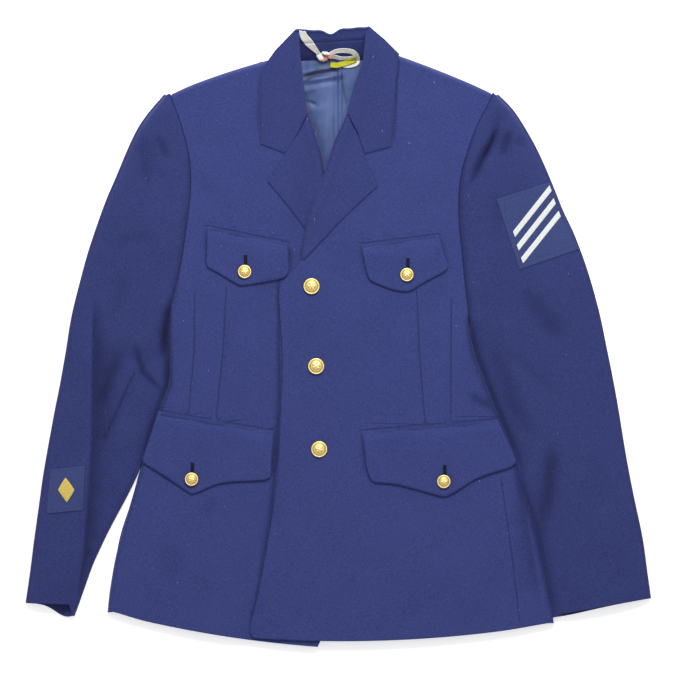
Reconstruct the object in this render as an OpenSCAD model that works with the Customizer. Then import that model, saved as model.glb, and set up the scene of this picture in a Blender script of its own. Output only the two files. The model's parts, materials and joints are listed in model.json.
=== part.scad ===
// A four-pocket, single-breasted uniform jacket that lies flat on its back.
// Left and right are the wearer's. X points to the wearer's left, Y to the
// collar and Z up, and the back of the jacket rests on Z = 0.

/* [Cloth] */
// Thickness of the wool cloth
cloth_t = 2; // [1.5:0.1:2.4]
// Thickness of the satin lining
lining_t = 0.8; // [0.5:0.1:1.2]
// Gap that keeps two layers of cloth apart
layer_gap = 0.5; // [0.3:0.1:0.8]
// Gap along the seam that a moving front shares with the body
seam_gap = 0.5; // [0.3:0.1:1]

/* [Main sizes] */
// Length from the neck seam to the hem
body_l = 725; // [650:5:800]
// Drop from the neck seam to the cuffs
sleeve_drop = 704; // [650:2:740]

/* [Fullness] */
// Height of the front above the floor at the side of the hem
hem_h = 12; // [10:1:18]
// Height of the front above the floor beside the neck
neck_h = 26; // [20:1:32]
// Rise of the middle of the front over its sides at the hem
hem_dome = 6; // [3:1:10]
// Rise of the middle of the front over its sides at the shoulders
chest_dome = 18; // [10:1:24]
// Height of a sleeve in its middle
sleeve_h = 26; // [18:1:30]
// Width of the fold that turns the front into the side of the body
side_fold_w = 8; // [6:1:10]

/* [Collar and lapels] */
// Height of the collar's fold behind the neck
collar_h = 46; // [38:1:54]
// Depth of the collar behind the neck, from its seam to its fold
collar_d = 43; // [36:1:50]
// Rise of a collar leaf's fold over the cloth at the gorge
leaf_rise = 8; // [6:1:12]

/* [Pocket flaps] */
// Drop of a flap's buttonhole window round its button
flap_window_gap = 2.6; // [2.4:0.1:3]
// Length of the pocket mouth's welt
welt_w = 5; // [4:1:8]
// Depth of a chest pocket's bag
chest_bag_d = 110; // [80:5:120]
// Depth of a hip pocket's bag
hip_bag_d = 150; // [100:5:160]

/* [Buttons] */
// Diameter of a front button
front_button_d = 21; // [18:0.5:24]
// Diameter of a flap button
flap_button_d = 17.5; // [14:0.5:19]
// Height of a button's domed shell over its rim
button_dome = 3.2; // [2:0.1:4.5]
// Thickness of the sheet metal of a button
button_wall = 0.6; // [0.4:0.1:0.8]
// Diameter of the wire of the shank
shank_wire_d = 1.6; // [1.2:0.1:2]
// Window round a front button that its buttonhole cloth fills
front_window_gap = 3.2; // [3:0.1:4]

/* [Badges] */
// Thickness of a badge's felt
badge_t = 1.4; // [1:0.1:2]
// Width of a rank stripe
stripe_w = 7; // [5:0.5:8]
// Thickness of the embroidery on a badge
braid_t = 1; // [0.6:0.1:1.5]

/* [Neck ribbon] */
// Width of the cotton tape
tape_w = 8; // [6:1:10]
// Thickness of the cotton tape
tape_t = 0.8; // [0.5:0.1:1]
// Length of the yellow tag
tag_l = 33; // [26:1:36]
// Width of the yellow tag
tag_w = 7; // [5:0.5:9]

/* [Hidden] */
$fn = 48;
EPS = 0.01;

// Levels along Y: the neck seam, the collar's fold, the end of its fall, the hem and the cuffs
neck_seam_y = 357;
fold_y = neck_seam_y + collar_d;
fall_y = neck_seam_y + 10;
hem_y = neck_seam_y - body_l;
cuff_y = neck_seam_y - sleeve_drop;

wool = "#3e447f";
wool_dark = "#2d3469";
satin = "#4c5f94";
gold = "#ddc05e";

// Where each front's hinge line starts at the neck and ends at the hem: [x, y]
neck_right = [-106, 352];
hem_right = [-312, hem_y + 6];
neck_left = [80, 358];
hem_left = [292, hem_y];

// Centres of the buttons: [x, y]
front_buttons = [[-35, 65], [-29, -39], [-25, -147]];
chest_button_r = [-122, 84];
chest_button_l = [89, 80];
hip_button_r = [-191, -186];
hip_button_l = [137, -189];

// The left front's leading edge, which the right front lies under: [y, x]
leading_edge = [[hem_y - 32, -112], [hem_y - 12, -114], [-308, -101], [-265, -92], [-174, -79],
  [-46, -73], [26, -76], [62, -79], [84, -54], [95, -51], [142, -43], [219, -17], [259, -4], [290, 12]];

// ---- Heights -------------------------------------------------------------

function mix(a, b, t) = a + (b - a) * t;
function clamp01(t) = max(0, min(1, t));
function ease(t) = let (c = clamp01(t)) c * c * (3 - 2 * c);
// X of a hinge line at a given Y
function line_x(top, bottom, y) = mix(bottom[0], top[0], (y - bottom[1]) / (top[1] - bottom[1]));
// How far up the jacket a Y lies, from 0 at the hem to 1 at the neck
function up(y) = (y - hem_left[1]) / (neck_left[1] - hem_left[1]);
function side_h(y) = mix(hem_h, neck_h, up(y));
function dome(y) = mix(hem_dome, chest_dome, clamp01(up(y)));
// Height of the outside of the front's cloth
function front_z(x, y) =
  let (
    xr = line_x(neck_right, hem_right, y),
    xl = line_x(neck_left, hem_left, y),
    s = (2 * x - xr - xl) / (xl - xr)
  )
  abs(s) <= 1
    ? side_h(y) + dome(y) * (1 - s * s)
    : side_h(y) - 0.05 * (abs(s) - 1) * (xl - xr) / 2;

// The right front sinks under the left one, which lies over it
overlap_drop = cloth_t + lining_t + 3 * layer_gap;
overlap_run = 40;
break_y = 85;
function under_drop(y) = overlap_drop + (cloth_t + layer_gap) * ease((y - break_y) / 20);
function under_z(x, y) =
  front_z(x, y) - under_drop(y) * ease((x - lookup(y, leading_edge) + overlap_run) / (overlap_run - 4));

// ---- Sheets of cloth -----------------------------------------------------

// Smooth curve through control values: value number i at fraction t
function spline(p, i, t) =
  let (
    n = len(p) - 1,
    a = p[max(0, i - 1)],
    b = p[i],
    c = p[min(n, i + 1)],
    d = p[min(n, i + 2)]
  )
  0.5 * (2 * b + (c - a) * t + (2 * a - 5 * b + 4 * c - d) * t * t + (3 * b - a - 3 * c + d) * t * t * t);
function along(p, v) = let (i = min(len(p) - 2, floor(v))) spline(p, i, v - i);
// Stations resampled into a given number of rows
function resample(stations, rows) = [for (i = [0:rows]) along(stations, (len(stations) - 1) * i / rows)];
// Point between a station's two ends, [x1, y1, x2, y2, bow]; the bow drops its middle
function cross(s, u) = [mix(s[0], s[2], u), mix(s[1], s[3], u) - s[4] * 4 * u * (1 - u)];

function quad(a, b, c, d, ccw) = ccw ? [[a, c, b], [a, d, c]] : [[a, b, c], [a, c, d]];
function flat_list(l) = [for (a = l) for (b = a) b];

// Closed sheet between an upper and a lower grid of points
module shell(upper, lower) {
  rows = len(upper);
  cols = len(upper[0]);
  n = rows * cols;
  e1 = upper[0][1] - upper[0][0];
  e2 = upper[1][0] - upper[0][0];
  m1 = upper[rows - 1][cols - 1] - upper[rows - 1][cols - 2];
  m2 = upper[rows - 1][cols - 1] - upper[rows - 2][cols - 1];
  turn = e1[0] * e2[1] - e1[1] * e2[0] + m1[0] * m2[1] - m1[1] * m2[0];
  ccw = turn > 0;
  at = function(i, j) i * cols + j;
  top = [for (i = [0:rows - 2]) for (j = [0:cols - 2])
    quad(at(i, j), at(i, j + 1), at(i + 1, j + 1), at(i + 1, j), ccw)];
  bottom = [for (i = [0:rows - 2]) for (j = [0:cols - 2])
    quad(n + at(i, j), n + at(i + 1, j), n + at(i + 1, j + 1), n + at(i, j + 1), ccw)];
  ends = [for (j = [0:cols - 2]) for (i = [0, rows - 1])
    let (a = i == 0 ? at(i, j + 1) : at(i, j), b = i == 0 ? at(i, j) : at(i, j + 1))
    quad(a, b, n + b, n + a, ccw)];
  sides = [for (i = [0:rows - 2]) for (j = [0, cols - 1])
    let (a = j == 0 ? at(i, j) : at(i + 1, j), b = j == 0 ? at(i + 1, j) : at(i, j))
    quad(a, b, n + b, n + a, ccw)];
  polyhedron(
    points = concat(flat_list(upper), flat_list(lower)),
    faces = concat(flat_list(top), flat_list(bottom), flat_list(ends), flat_list(sides)),
    convexity = 6);
}

// Sheet that follows a height function, its upper face raised by lift
module sheet(stations, rows, cols, height, lift, thick) {
  r = resample(stations, rows);
  upper = [for (s = r) [for (j = [0:cols])
    let (p = cross(s, j / cols)) [p[0], p[1], height(p[0], p[1]) + lift]]];
  lower = [for (line = upper) [for (p = line) p - [0, 0, thick]]];
  shell(upper, lower);
}

// ---- Body ----------------------------------------------------------------

// Outline of half the back, from its outer edge to the centre seam
function back_half(outer, seam_x) = [for (p = outer) [p[0], p[1], seam_x, p[2], p[3]]];
back_right_edge = [[-100, 357, 357, 0], [-209, 314, 318, -6], [-200, 288, 288, 0], [-197, 262, 262, 0], [-192, 237, 237, 0],
  [-190, 195, 195, 0], [-192, 162, 162, 0], [-199, 124, 124, 0], [-205, 89, 89, 0], [-222, 32, 32, 0],
  [-219, -20, -20, 0], [-218, -61, -61, 0], [-230, -91, -93, 0], [-253, -160, -165, 0],
  [-266, -206, -214, 0], [-285, -265, -280, 0], [-299, hem_y + 12, hem_y - 24, 4]];
back_left_edge = [[78, 362, 357, 0], [188, 314, 318, -6], [180, 288, 288, 0], [174, 262, 262, 0], [162, 232, 232, 0],
  [156, 188, 188, 0], [154, 162, 162, 0], [156, 129, 129, 0], [163, 80, 80, 0], [173, 25, 25, 0],
  [174, -18, -18, 0], [188, -56, -56, 0], [202, -96, -96, 0], [232, -160, -163, 0],
  [238, -206, -212, 0], [261, -265, -276, 0], [279, hem_y + 8, hem_y - 22, 4]];
back_seam_x = -10;

function floor_z(x, y) = 0;
module back(edge, side) {
  sheet(back_half(edge, back_seam_x + side * seam_gap / 2), 22, 2, function(x, y) floor_z(x, y), cloth_t, cloth_t);
}
module back_right() { color(wool) back(back_right_edge, -1); }
module back_left() { color(wool) back(back_left_edge, 1); }
module back_lining() {
  inset = 12;
  rows = [for (i = [0:len(back_right_edge) - 1])
    let (r = back_right_edge[i], l = back_left_edge[i], drop = i == len(back_right_edge) - 1 ? inset : 0)
    [r[0] + inset, r[1] + drop, l[0] - inset, l[1] + drop, 0]];
  color(satin) sheet(rows, 16, 2, function(x, y) floor_z(x, y), cloth_t + layer_gap + lining_t, lining_t);
}

// The fronts: from the hinge line or the side fold to the leading edge.
// A side point is [x, y]; x is held clear of the hinge line
function right_side(x, y) = max(x, line_x(neck_right, hem_right, y) + seam_gap / 2);
function left_side(x, y) = min(x, line_x(neck_left, hem_left, y) - seam_gap / 2);
function front_right_row(p) = [right_side(p[0], p[1]), p[1], p[2], p[3], p[4]];
function front_left_row(p) = [p[0], p[1], left_side(p[2], p[3]), p[3], p[4]];

right_rows = [for (p = [[-140, 345, -52, 345, 0], [-140, 310, -44, 312, 0], [-160, 237, -25, 240, 0],
  [-170, 188, -14, 190, 0], [-190, 130, -9, 130, 0], [-190, 75, -6, 75, 0], [-200, 20, -4, 20, 0],
  [-210, -61, -3, -61, 0], [-222, -91, -3, -93, 0], [-245, -160, -3, -165, 0], [-258, -206, -4, -215, 0],
  [-277, -265, -5, -282, 0], [-291, hem_y + 6, -8, hem_y - 32, 5]]) front_right_row(p)];
left_rows = [for (p = [[46, 352, 90, 354, 0], [30, 318, 96, 318, 0], [14, 292, 110, 292, 0],
  [-3, 259, 120, 258, 0], [-16, 219, 130, 219, 0], [-31, 180, 140, 180, 0], [-43, 142, 150, 142, 0],
  [-51, 96, 154, 96, 0], [-75, 66, 160, 66, 0], [-76, 26, 166, 24, 0], [-73, -18, 166, -18, 0],
  [-73, -56, 180, -56, 0], [-75, -100, 194, -96, 0], [-78, -165, 224, -160, 0], [-83, -215, 230, -206, 0],
  [-93, -275, 253, -265, 0], [-103, hem_y + 38, 264, hem_y + 52, 0], [-113, hem_y - 10, 272, hem_y + 6, 3], [-104, hem_y - 28, 272, hem_y - 4, 8]])
  front_left_row(p)];

module front_right() {
  color(wool) sheet(right_rows, 24, 20, function(x, y) under_z(x, y), 0, cloth_t);
}
// Window in a sheet that a piece of buttonhole cloth fills
module window(at, d, gap) {
  translate([at[0], at[1], -EPS]) cylinder(h = 90, d = d + 2 * gap, $fn = 24);
}
module front_left_cloth() {
  sheet(left_rows, 26, 13, function(x, y) front_z(x, y), 0, cloth_t);
}
module front_left() {
  color(wool) difference() {
    front_left_cloth();
    for (b = front_buttons) window(b, front_button_d, front_window_gap);
  }
}
// Cloth round a button: it fills the window and leaves room for the shank
module buttonhole_piece(at, d, gap) {
  intersection() {
    children();
    difference() {
      window(at, d, gap - layer_gap / 2);
      window(at, 2 * shank_reach, layer_gap);
    }
  }
}
module front_buttonholes() {
  color(wool_dark) for (b = front_buttons)
    buttonhole_piece(b, front_button_d, front_window_gap)
      sheet(window_rows(b), 4, 4, function(x, y) front_z(x, y), 0, cloth_t);
}
// Small square of cloth round a window
function window_rows(b) = let (r = 20)
  [for (k = [-1:1]) [b[0] - r, b[1] - k * r, b[0] + r, b[1] - k * r, 0]];

// Shoulder parts of the fronts, between the hinge line and the armhole
module front_shoulder_right() {
  rows = [for (p = [[-140, 350, 344], [-180, 330, 330], [-216, 315, 312], [-206, 284, 284], [-194, 237, 237],
    [-191, 200, 200], [-193, 162, 162], [-200, 124, 124], [-205, 95, 95], [-207, 76, 76]])
    [p[0], p[1], line_x(neck_right, hem_right, p[2]) - seam_gap / 2, p[2], 0]];
  color(wool) sheet(rows, 14, 5, function(x, y) front_z(x, y), 0, cloth_t);
}
module front_shoulder_left() {
  rows = [for (p = [[110, 352, 352], [160, 334, 334], [192, 309, 306], [183, 284, 284], [176, 262, 262], [164, 232, 232],
    [157, 195, 195], [155, 162, 162], [157, 129, 129], [161, 104, 104]])
    [line_x(neck_left, hem_left, p[2]) + seam_gap / 2, p[2], p[0], p[1], 0]];
  color(wool) sheet(rows, 14, 4, function(x, y) front_z(x, y), 0, cloth_t);
}

// Side of the body: cloth that turns from the front down to the back.
// Stations hold the outer contour, [x, y]; side is -1 for the right
right_contour = [[-222, 30], [-219, -20], [-219, -61], [-231, -91], [-254, -160], [-267, -206],
  [-286, -265], [-300, hem_y + 10]];
left_contour = [[173.5, 24], [175, -18], [189, -56], [203, -96], [233, -160], [239, -206], [262, -265], [281, hem_y + 6]];
side_arc_steps = 4;
module side_body(contour, side) {
  rows = resample([for (p = contour) p], 16);
  rise = function(x, y) front_z(x, y) - cloth_t - layer_gap;
  upper = [for (p = rows) [for (k = [0:side_arc_steps])
    let (a = 90 * k / side_arc_steps, w = side_fold_w - seam_gap)
    [p[0] - side * w * (1 - sin(a)), p[1], cloth_t + layer_gap + rise(p[0], p[1]) * cos(a)]]];
  lower = [for (p = rows) [for (k = [0:side_arc_steps])
    let (a = 90 * k / side_arc_steps, w = side_fold_w - seam_gap)
    [p[0] - side * (w + (cloth_t - w) * sin(a)), p[1],
      cloth_t + layer_gap + (rise(p[0], p[1]) - cloth_t) * cos(a)]]];
  shell(upper, lower);
}
module side_body_right() { color(wool) side_body(right_contour, -1); }
module side_body_left() { color(wool) side_body(left_contour, 1); }

// ---- Inside the fronts ---------------------------------------------------

bag_t = 1.2;
bag_lift = -cloth_t - layer_gap;
front_lining_lift = bag_lift - bag_t - layer_gap;
module front_lining_right() {
  inset = 6;
  rows = [for (p = right_rows) [p[0] + inset, p[1], p[2] - inset, p[3], p[4]]];
  last = len(rows) - 1;
  hem = [for (i = [0:last]) i < last ? rows[i] : rows[i] + [0, 2 * inset, 0, 2 * inset, 0]];
  color(satin) sheet(hem, 16, 8, function(x, y) under_z(x, y), front_lining_lift, lining_t);
}
module front_lining_left() {
  inset = 6;
  overlap_x = 4;
  rows = [for (p = left_rows) [max(p[0] + inset, overlap_x), p[1], p[2] - inset, p[3], p[4]]];
  last = len(rows) - 1;
  hem = [for (i = [0:last - 1]) i < last - 1 ? rows[i] : rows[i] + [0, inset, 0, inset, 0]];
  color(satin) sheet(hem, 16, 6, function(x, y) front_z(x, y), front_lining_lift, lining_t);
}
// Pads between the shoulder cloth and the back
module shoulder_pads() {
  lift = -cloth_t - layer_gap;
  color("#d8d4c8") {
    sheet([[-205, 308, -140, 322, 0], [-196, 276, -150, 284, 0], [-188, 236, -164, 240, 0]],
      4, 4, function(x, y) front_z(x, y), lift, 9);
    sheet([[118, 322, 188, 300, 0], [128, 284, 172, 262, 0], [140, 236, 158, 232, 0]],
      4, 4, function(x, y) front_z(x, y), lift, 9);
  }
}

// ---- Collar and lapels ---------------------------------------------------

neck_seam_z = 8;
function stand_z(x, y) = mix(neck_seam_z, collar_h, clamp01((y - neck_seam_y) / (fold_y - neck_seam_y)));
// Inner face of the collar behind the neck
module collar_stand() {
  color(wool_dark) sheet([[-51, fold_y - 1, 35, fold_y + 2, 5], [-50, fold_y - 21, 34, fold_y - 17, 1],
    [-47, neck_seam_y + 1, 31, neck_seam_y, 0]],
    6, 8, function(x, y) stand_z(x, y), 0, cloth_t);
}
// Outer face of the collar, which turns down behind the neck to the floor
module collar_fall() {
  fold = collar_h - cloth_t - layer_gap;
  drop = function(x, y) mix(cloth_t, fold, clamp01((y - fall_y) / (fold_y - fall_y)));
  color(wool) sheet([[-51, fold_y - 1, 35, fold_y + 2, 5], [-50, fold_y - 19, 34, fold_y - 16, 1],
    [-47, fall_y, 31, fall_y, 0]],
    6, 8, function(x, y) drop(x, y), 0, cloth_t);
}

// Collar leaf: from its fold at the neck down to its outer edge.
// The gorge is where the leaf's fold meets the lapel's
gorge_y = 288;
gorge_end_y = 236;
gorge_drop = 6;
right_fold = [[236, -62], [gorge_y, -38], [327, -45], [359, -49], [fold_y - 1, -51]];
right_outer = [[238, -102], [281, -101], [345, -99], [fold_y - 30, -80], [fold_y - 1, -57]];
left_fold = [[236, 29], [263, 21], [gorge_y + 1, 9], [329, 20], [357, 31], [fold_y + 3, 35]];
left_outer = [[246, 69], [311, 72], [367, 79], [fold_y - 15, 60], [fold_y + 3, 40]];
function leaf_z(x, y, fold, outer) =
  let (
    xf = lookup(y, fold),
    xo = lookup(y, outer),
    out = clamp01((x - xf) / (xo - xf)),
    top = mix(front_z(xf, gorge_y) + leaf_rise, collar_h, clamp01((y - gorge_y) / (fold_y - gorge_y))),
    near = cloth_t + layer_gap,
    gorge = ease((y - gorge_end_y) / 60)
  )
  max(front_z(x, y) + near, mix(top, front_z(xo, y) + near, pow(out, 0.8)) - (1 - gorge) * gorge_drop);
module collar_leaf(rows, fold, outer) {
  sheet(rows, 12, 6, function(x, y) leaf_z(x, y, fold, outer), 0, cloth_t);
}
module collar_leaf_right() {
  color(wool) collar_leaf([[-57, fold_y - 2, -51.5, fold_y - 1, 0], [-80, fold_y - 29, -50.5, fold_y - 20, 0], [-99, 345, -47.5, 345, 0],
    [-101, 310, -43, 312, 0], [-101, 282, -41, 289, 0], [-102, 262, -53, 264, 0], [-102, 250, -70, 240, 0]],
    right_fold, right_outer);
}
module collar_leaf_left() {
  color(wool) collar_leaf([[35.5, fold_y + 2, 40, fold_y + 3, 0], [34.5, fold_y - 16, 60, fold_y - 14, 0], [31.5, 357, 79, 367, 0],
    [21, 328, 74, 330, 0], [11, 291, 72, 300, 0], [25, 265, 70, 268, 0], [35.5, 238.5, 69, 246, 0]],
    left_fold, left_outer);
}
lapel_lift = cloth_t + layer_gap;
module lapel_right() {
  color(wool) sheet([[-40, 286, -38.5, 287, 0], [-54, 261, -29, 258, 0], [-69, 238, -23, 238, 0],
    [-80, 219, -20, 222, 0], [-91, 201, -17, 205, 0], [-66, 170, -14, 172, 0], [-46, 142, -12, 142, 0],
    [-30, 108, -10, 108, 0]],
    14, 8, function(x, y) under_z(x, y), lapel_lift + layer_gap, cloth_t);
}
module lapel_left() {
  color(wool) sheet([[11, 286, 13, 286, 0], [-2, 259, 24, 262, 0], [-10, 238, 33, 235, 0],
    [-17, 216, 42, 214, 0], [-22, 200, 50.5, 195, 0], [-33, 172, 26, 171, 0], [-41, 145, -1, 144, 0],
    [-50, 98, -44, 98, 0]],
    14, 7, function(x, y) front_z(x, y), lapel_lift, cloth_t);
}

// ---- Pockets -------------------------------------------------------------

welt_t = 1;
flap_lift = welt_t + 2 * layer_gap + cloth_t;
// A flap's stations run along its seam: [seam x, seam y, lower edge x, lower edge y, 0]
chest_r = [[-165.5, 143.1, -172, 95, 0], [-148, 139.6, -147, 75, 0], [-123, 134.6, -124, 66, 0],
  [-92, 128.4, -95, 70, 0], [-65, 123, -64, 80, 0]];
chest_l = [[31, 121, 35, 86, 0], [50, 123.3, 54, 68, 0], [86, 127.7, 89, 58, 0],
  [112, 130.9, 118, 77, 0], [129, 133, 141, 92, 0]];
hip_r = [[-233, -97, -252, -160, 0], [-205, -101.7, -217, -190, 0], [-180, -105.9, -191, -206, 0],
  [-140, -112.7, -140, -191, 0], [-110, -117.8, -108, -189, 0], [-86, -121.8, -88, -183, 0]];
hip_l = [[30, -121, 35, -157, 0], [52, -119.4, 54, -191, 0], [92, -116.4, 97, -195, 0],
  [134, -113.3, 140, -208, 0], [170, -110.7, 176, -186, 0], [206, -108, 230, -164, 0]];
flap_rows = 10;
module flap(stations, button, thick) {
  difference() {
    flap_cloth(stations, thick);
    window(button, flap_button_d, flap_window_gap);
  }
}
module flap_cloth(stations, thick) {
  sheet(stations, flap_rows, 6, function(x, y) front_z(x, y), flap_lift, thick);
}
module flap_buttonhole(button) {
  buttonhole_piece(button, flap_button_d, flap_window_gap)
    sheet(window_rows(button), 4, 4, function(x, y) front_z(x, y), flap_lift, cloth_t);
}
module chest_flap_right() { color(wool) flap(chest_r, chest_button_r, cloth_t); }
module chest_flap_left() { color(wool) flap(chest_l, chest_button_l, cloth_t); }
module hip_flap_right() { color(wool) flap(hip_r, hip_button_r, cloth_t); }
module hip_flap_left() { color(wool) flap(hip_l, hip_button_l, cloth_t); }
module chest_buttonhole_right() { color(wool_dark) flap_buttonhole(chest_button_r); }
module chest_buttonhole_left() { color(wool_dark) flap_buttonhole(chest_button_l); }
module hip_buttonhole_right() { color(wool_dark) flap_buttonhole(hip_button_r); }
module hip_buttonhole_left() { color(wool_dark) flap_buttonhole(hip_button_l); }

// Pocket mouth's welt: a narrow strip just under a flap's seam
module welt(stations) {
  n = len(stations) - 1;
  a = stations[0];
  b = stations[n];
  below = seam_gap + 3;
  margin = 3;
  sheet([[a[0] + margin, a[1] - below, a[0] + margin, a[1] - below - welt_w, 0],
    [b[0] - margin, b[1] - below, b[0] - margin, b[1] - below - welt_w, 0]],
    6, 1, function(x, y) front_z(x, y), welt_t + layer_gap, welt_t);
}
// Pocket bag: a flat pouch that hangs inside the front from the pocket mouth.
// The margins hold its sides clear of the flap's first and last ends
module bag(stations, depth, margins, height) {
  a = stations[0];
  b = stations[len(stations) - 1];
  x1 = a[0] + margins[0];
  x2 = b[0] - margins[1];
  sheet([[x1, a[1] - welt_w, x1, a[1] - depth, 0], [(x1 + x2) / 2, (a[1] + b[1]) / 2 - welt_w, (x1 + x2) / 2,
    (a[1] + b[1]) / 2 - depth, 0], [x2, b[1] - welt_w, x2, b[1] - depth, 0]],
    6, 6, height, bag_lift, bag_t);
}
module pocket_welts_right() {
  color(wool_dark) {
    welt(chest_r);
    welt(hip_r);
  }
}
module pocket_welts_left() {
  color(wool_dark) {
    welt(chest_l);
    welt(hip_l);
  }
}
module pocket_bags_right() {
  color("#c9c2b2") {
    bag(chest_r, chest_bag_d, [4, 40], function(x, y) under_z(x, y));
    bag(hip_r, hip_bag_d, [16, 24], function(x, y) under_z(x, y));
  }
}
module pocket_bags_left() {
  color("#c9c2b2") {
    bag(chest_l, chest_bag_d, [4, 8], function(x, y) front_z(x, y));
    bag(hip_l, hip_bag_d, [4, 20], function(x, y) front_z(x, y));
  }
}

// ---- Sleeves -------------------------------------------------------------

// Stations run from the shoulder to the cuff: [inner x, y, outer x, y, joined],
// where joined is 1 along the armhole seam and 0 below the armpit
sleeve_r = [[-218.5, 313, -228, 309, 1], [-208, 284, -259, 270, 1], [-195, 237, -289, 203, 1],
  [-192.5, 204, -301, 175, 1], [-194, 162, -313, 142, 1], [-201, 124, -323, 112, 1],
  [-207, 89, -331, 84, 1], [-223, 33, -345, 28, 1], [-221, -20, -353, -20, 0], [-220.5, -61, -361, -65, 0],
  [-232.5, -92, -368, -100, 0], [-255.5, -161, -381, -172, 0], [-271, -197, -387, -214, 0],
  [-298, -251, -394, -265, 0], [-315, -291, -399, -305, 0], [-347, cuff_y - 6, -405, cuff_y, 0]];
sleeve_l = [[199.5, 307, 208, 311, 1], [178.5, 262, 247, 260, 1], [165.5, 232, 263, 229, 1],
  [158.5, 192, 278, 194, 1], [156.5, 162, 291, 162, 1], [158.5, 129, 306, 130, 1],
  [165.5, 80, 327, 82, 1], [175, 25, 338, 30, 1], [176, -18, 349, -18, 0], [190.5, -56, 358, -55, 0],
  [205.5, -96, 366, -94, 0], [235.6, -160, 376, -155, 0], [241.4, -206, 384, -205, 0],
  [263.5, -265, 394, -262, 0], [275.5, -308, 400, -305, 0], [282.5, cuff_y - 16, 405, cuff_y + 6, 0]];
cuff_h = 18;
rim_z = 2 * cloth_t + layer_gap;
sleeve_rows = 16;
sleeve_cols = 7;
function round_off(u) = sqrt(max(0, 1 - pow(u, 4)));
function sleeve_top(s, v, u) =
  let (
    join = clamp01(s[4]),
    full = mix(sleeve_h, cuff_h, v),
    inner = front_z(s[0], s[1]),
    g = join * inner * pow(1 - u, 2) + full * (1 - join * pow(1 - u, 2))
  )
  rim_z + (g - rim_z) * round_off(u) * mix(round_off(1 - u), 1, join);
// Point on the upper face of a sleeve, down it by v and across it by u, both from 0 to 1
function sleeve_at(stations, v, u) =
  let (s = along(stations, v * (len(stations) - 1)))
  [mix(s[0], s[2], u), mix(s[1], s[3], u), sleeve_top(s, v, u)];
// Even spacing round the sleeve's fold
function fold_u(j, cols) = (1 - cos(180 * j / cols)) / 2;
module sleeve_sheet(stations, inset, lift, thick) {
  grid = function(inner, drop, base) [for (i = [0:sleeve_rows]) [for (j = [0:sleeve_cols])
    let (
      v = i / sleeve_rows,
      s = along(stations, v * (len(stations) - 1)),
      width = norm([s[2] - s[0], s[3] - s[1]]),
      out = clamp01(1 - s[4]),
      w = min(inner / width, 0.3),
      u = fold_u(j, sleeve_cols),
      moved = mix(w * out, 1 - w, u),
      p = sleeve_at(stations, v, u)
    )
    [mix(s[0], s[2], moved), mix(s[1], s[3], moved), max(p[2] - drop, base)]]];
  under = cloth_t + layer_gap;
  shell(grid(inset, -lift, under + thick), grid(inset + thick * 0.8, thick - lift, under));
}
module under_sheet(stations, inset, z, thick) {
  rows = [for (s = stations) let (w = inset / norm([s[2] - s[0], s[3] - s[1]]), t = min(w, 0.3))
    [mix(s[0], s[2], t), mix(s[1], s[3], t), mix(s[2], s[0], t), mix(s[3], s[1], t), 0]];
  sheet(rows, sleeve_rows, 1, function(x, y) floor_z(x, y), z + thick, thick);
}
module top_sleeve_right() { color(wool) sleeve_sheet(sleeve_r, 0, 0, cloth_t); }
module top_sleeve_left() { color(wool) sleeve_sheet(sleeve_l, 0, 0, cloth_t); }
module under_sleeve_right() { color(wool_dark) under_sheet(sleeve_r, 1, 0, cloth_t); }
module under_sleeve_left() { color(wool_dark) under_sheet(sleeve_l, 1, 0, cloth_t); }
// Upper and lower layers of the lining
module sleeve_lining(stations) {
  inset = cloth_t + 2 * layer_gap;
  lining_z = cloth_t + layer_gap;
  color(satin) {
    sleeve_sheet(stations, inset, -cloth_t - layer_gap, lining_t / 2);
    under_sheet(stations, 3 * inset, cloth_t + EPS, layer_gap - 2 * EPS);
  }
}
module sleeve_lining_right() { sleeve_lining(sleeve_r); }
module sleeve_lining_left() { sleeve_lining(sleeve_l); }

// Badges lie on the sleeve: corners are [v, u] in the sleeve's own measure
function patch_at(stations, corners, a, b, lift) =
  let (
    vu = mix(mix(corners[0], corners[1], a), mix(corners[3], corners[2], a), b),
    p = sleeve_at(stations, vu[0], vu[1])
  )
  p + [0, 0, lift];
module patch(stations, corners, lo, hi, lift, thick) {
  steps = 5;
  upper = [for (i = [0:steps]) [for (j = [0:steps])
    patch_at(stations, corners, mix(lo[0], hi[0], i / steps), mix(lo[1], hi[1], j / steps), lift + thick)]];
  lower = [for (line = upper) [for (p = line) p - [0, 0, thick]]];
  shell(upper, lower);
}
rank_corners = [[0.222, 0.37], [0.192, 0.93], [0.36, 0.93], [0.39, 0.43]];
cuff_corners = [[0.8, 0.94], [0.8, 0.6], [0.893, 0.48], [0.893, 0.91]];
badge_gap = 0.3;
module rank_badge() { color(wool) patch(sleeve_l, rank_corners, [0, 0], [1, 1], badge_gap, badge_t); }
// Three braids that slant across the badge, each as one short stair of cells
stripe_rise = 0.435;
stripe_starts = [0.53, 0.71, 0.885];
module rank_stripe(start) {
  badge_drop = 96;
  half = stripe_w / badge_drop / 2;
  steps = 8;
  upper = [for (i = [0:steps]) [for (j = [-1:1])
    let (a = mix(0.09, 0.96, i / steps), b = start - stripe_rise * i / steps + half * j)
    patch_at(sleeve_l, rank_corners, a, b, badge_gap + badge_t + 0.1 + braid_t)]];
  lower = [for (line = upper) [for (p = line) p - [0, 0, braid_t]]];
  shell(upper, lower);
}
module rank_stripes() { color("white") for (s = stripe_starts) rank_stripe(s); }
module cuff_badge() { color(wool_dark) patch(sleeve_r, cuff_corners, [0, 0], [1, 1], badge_gap, badge_t); }
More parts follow.
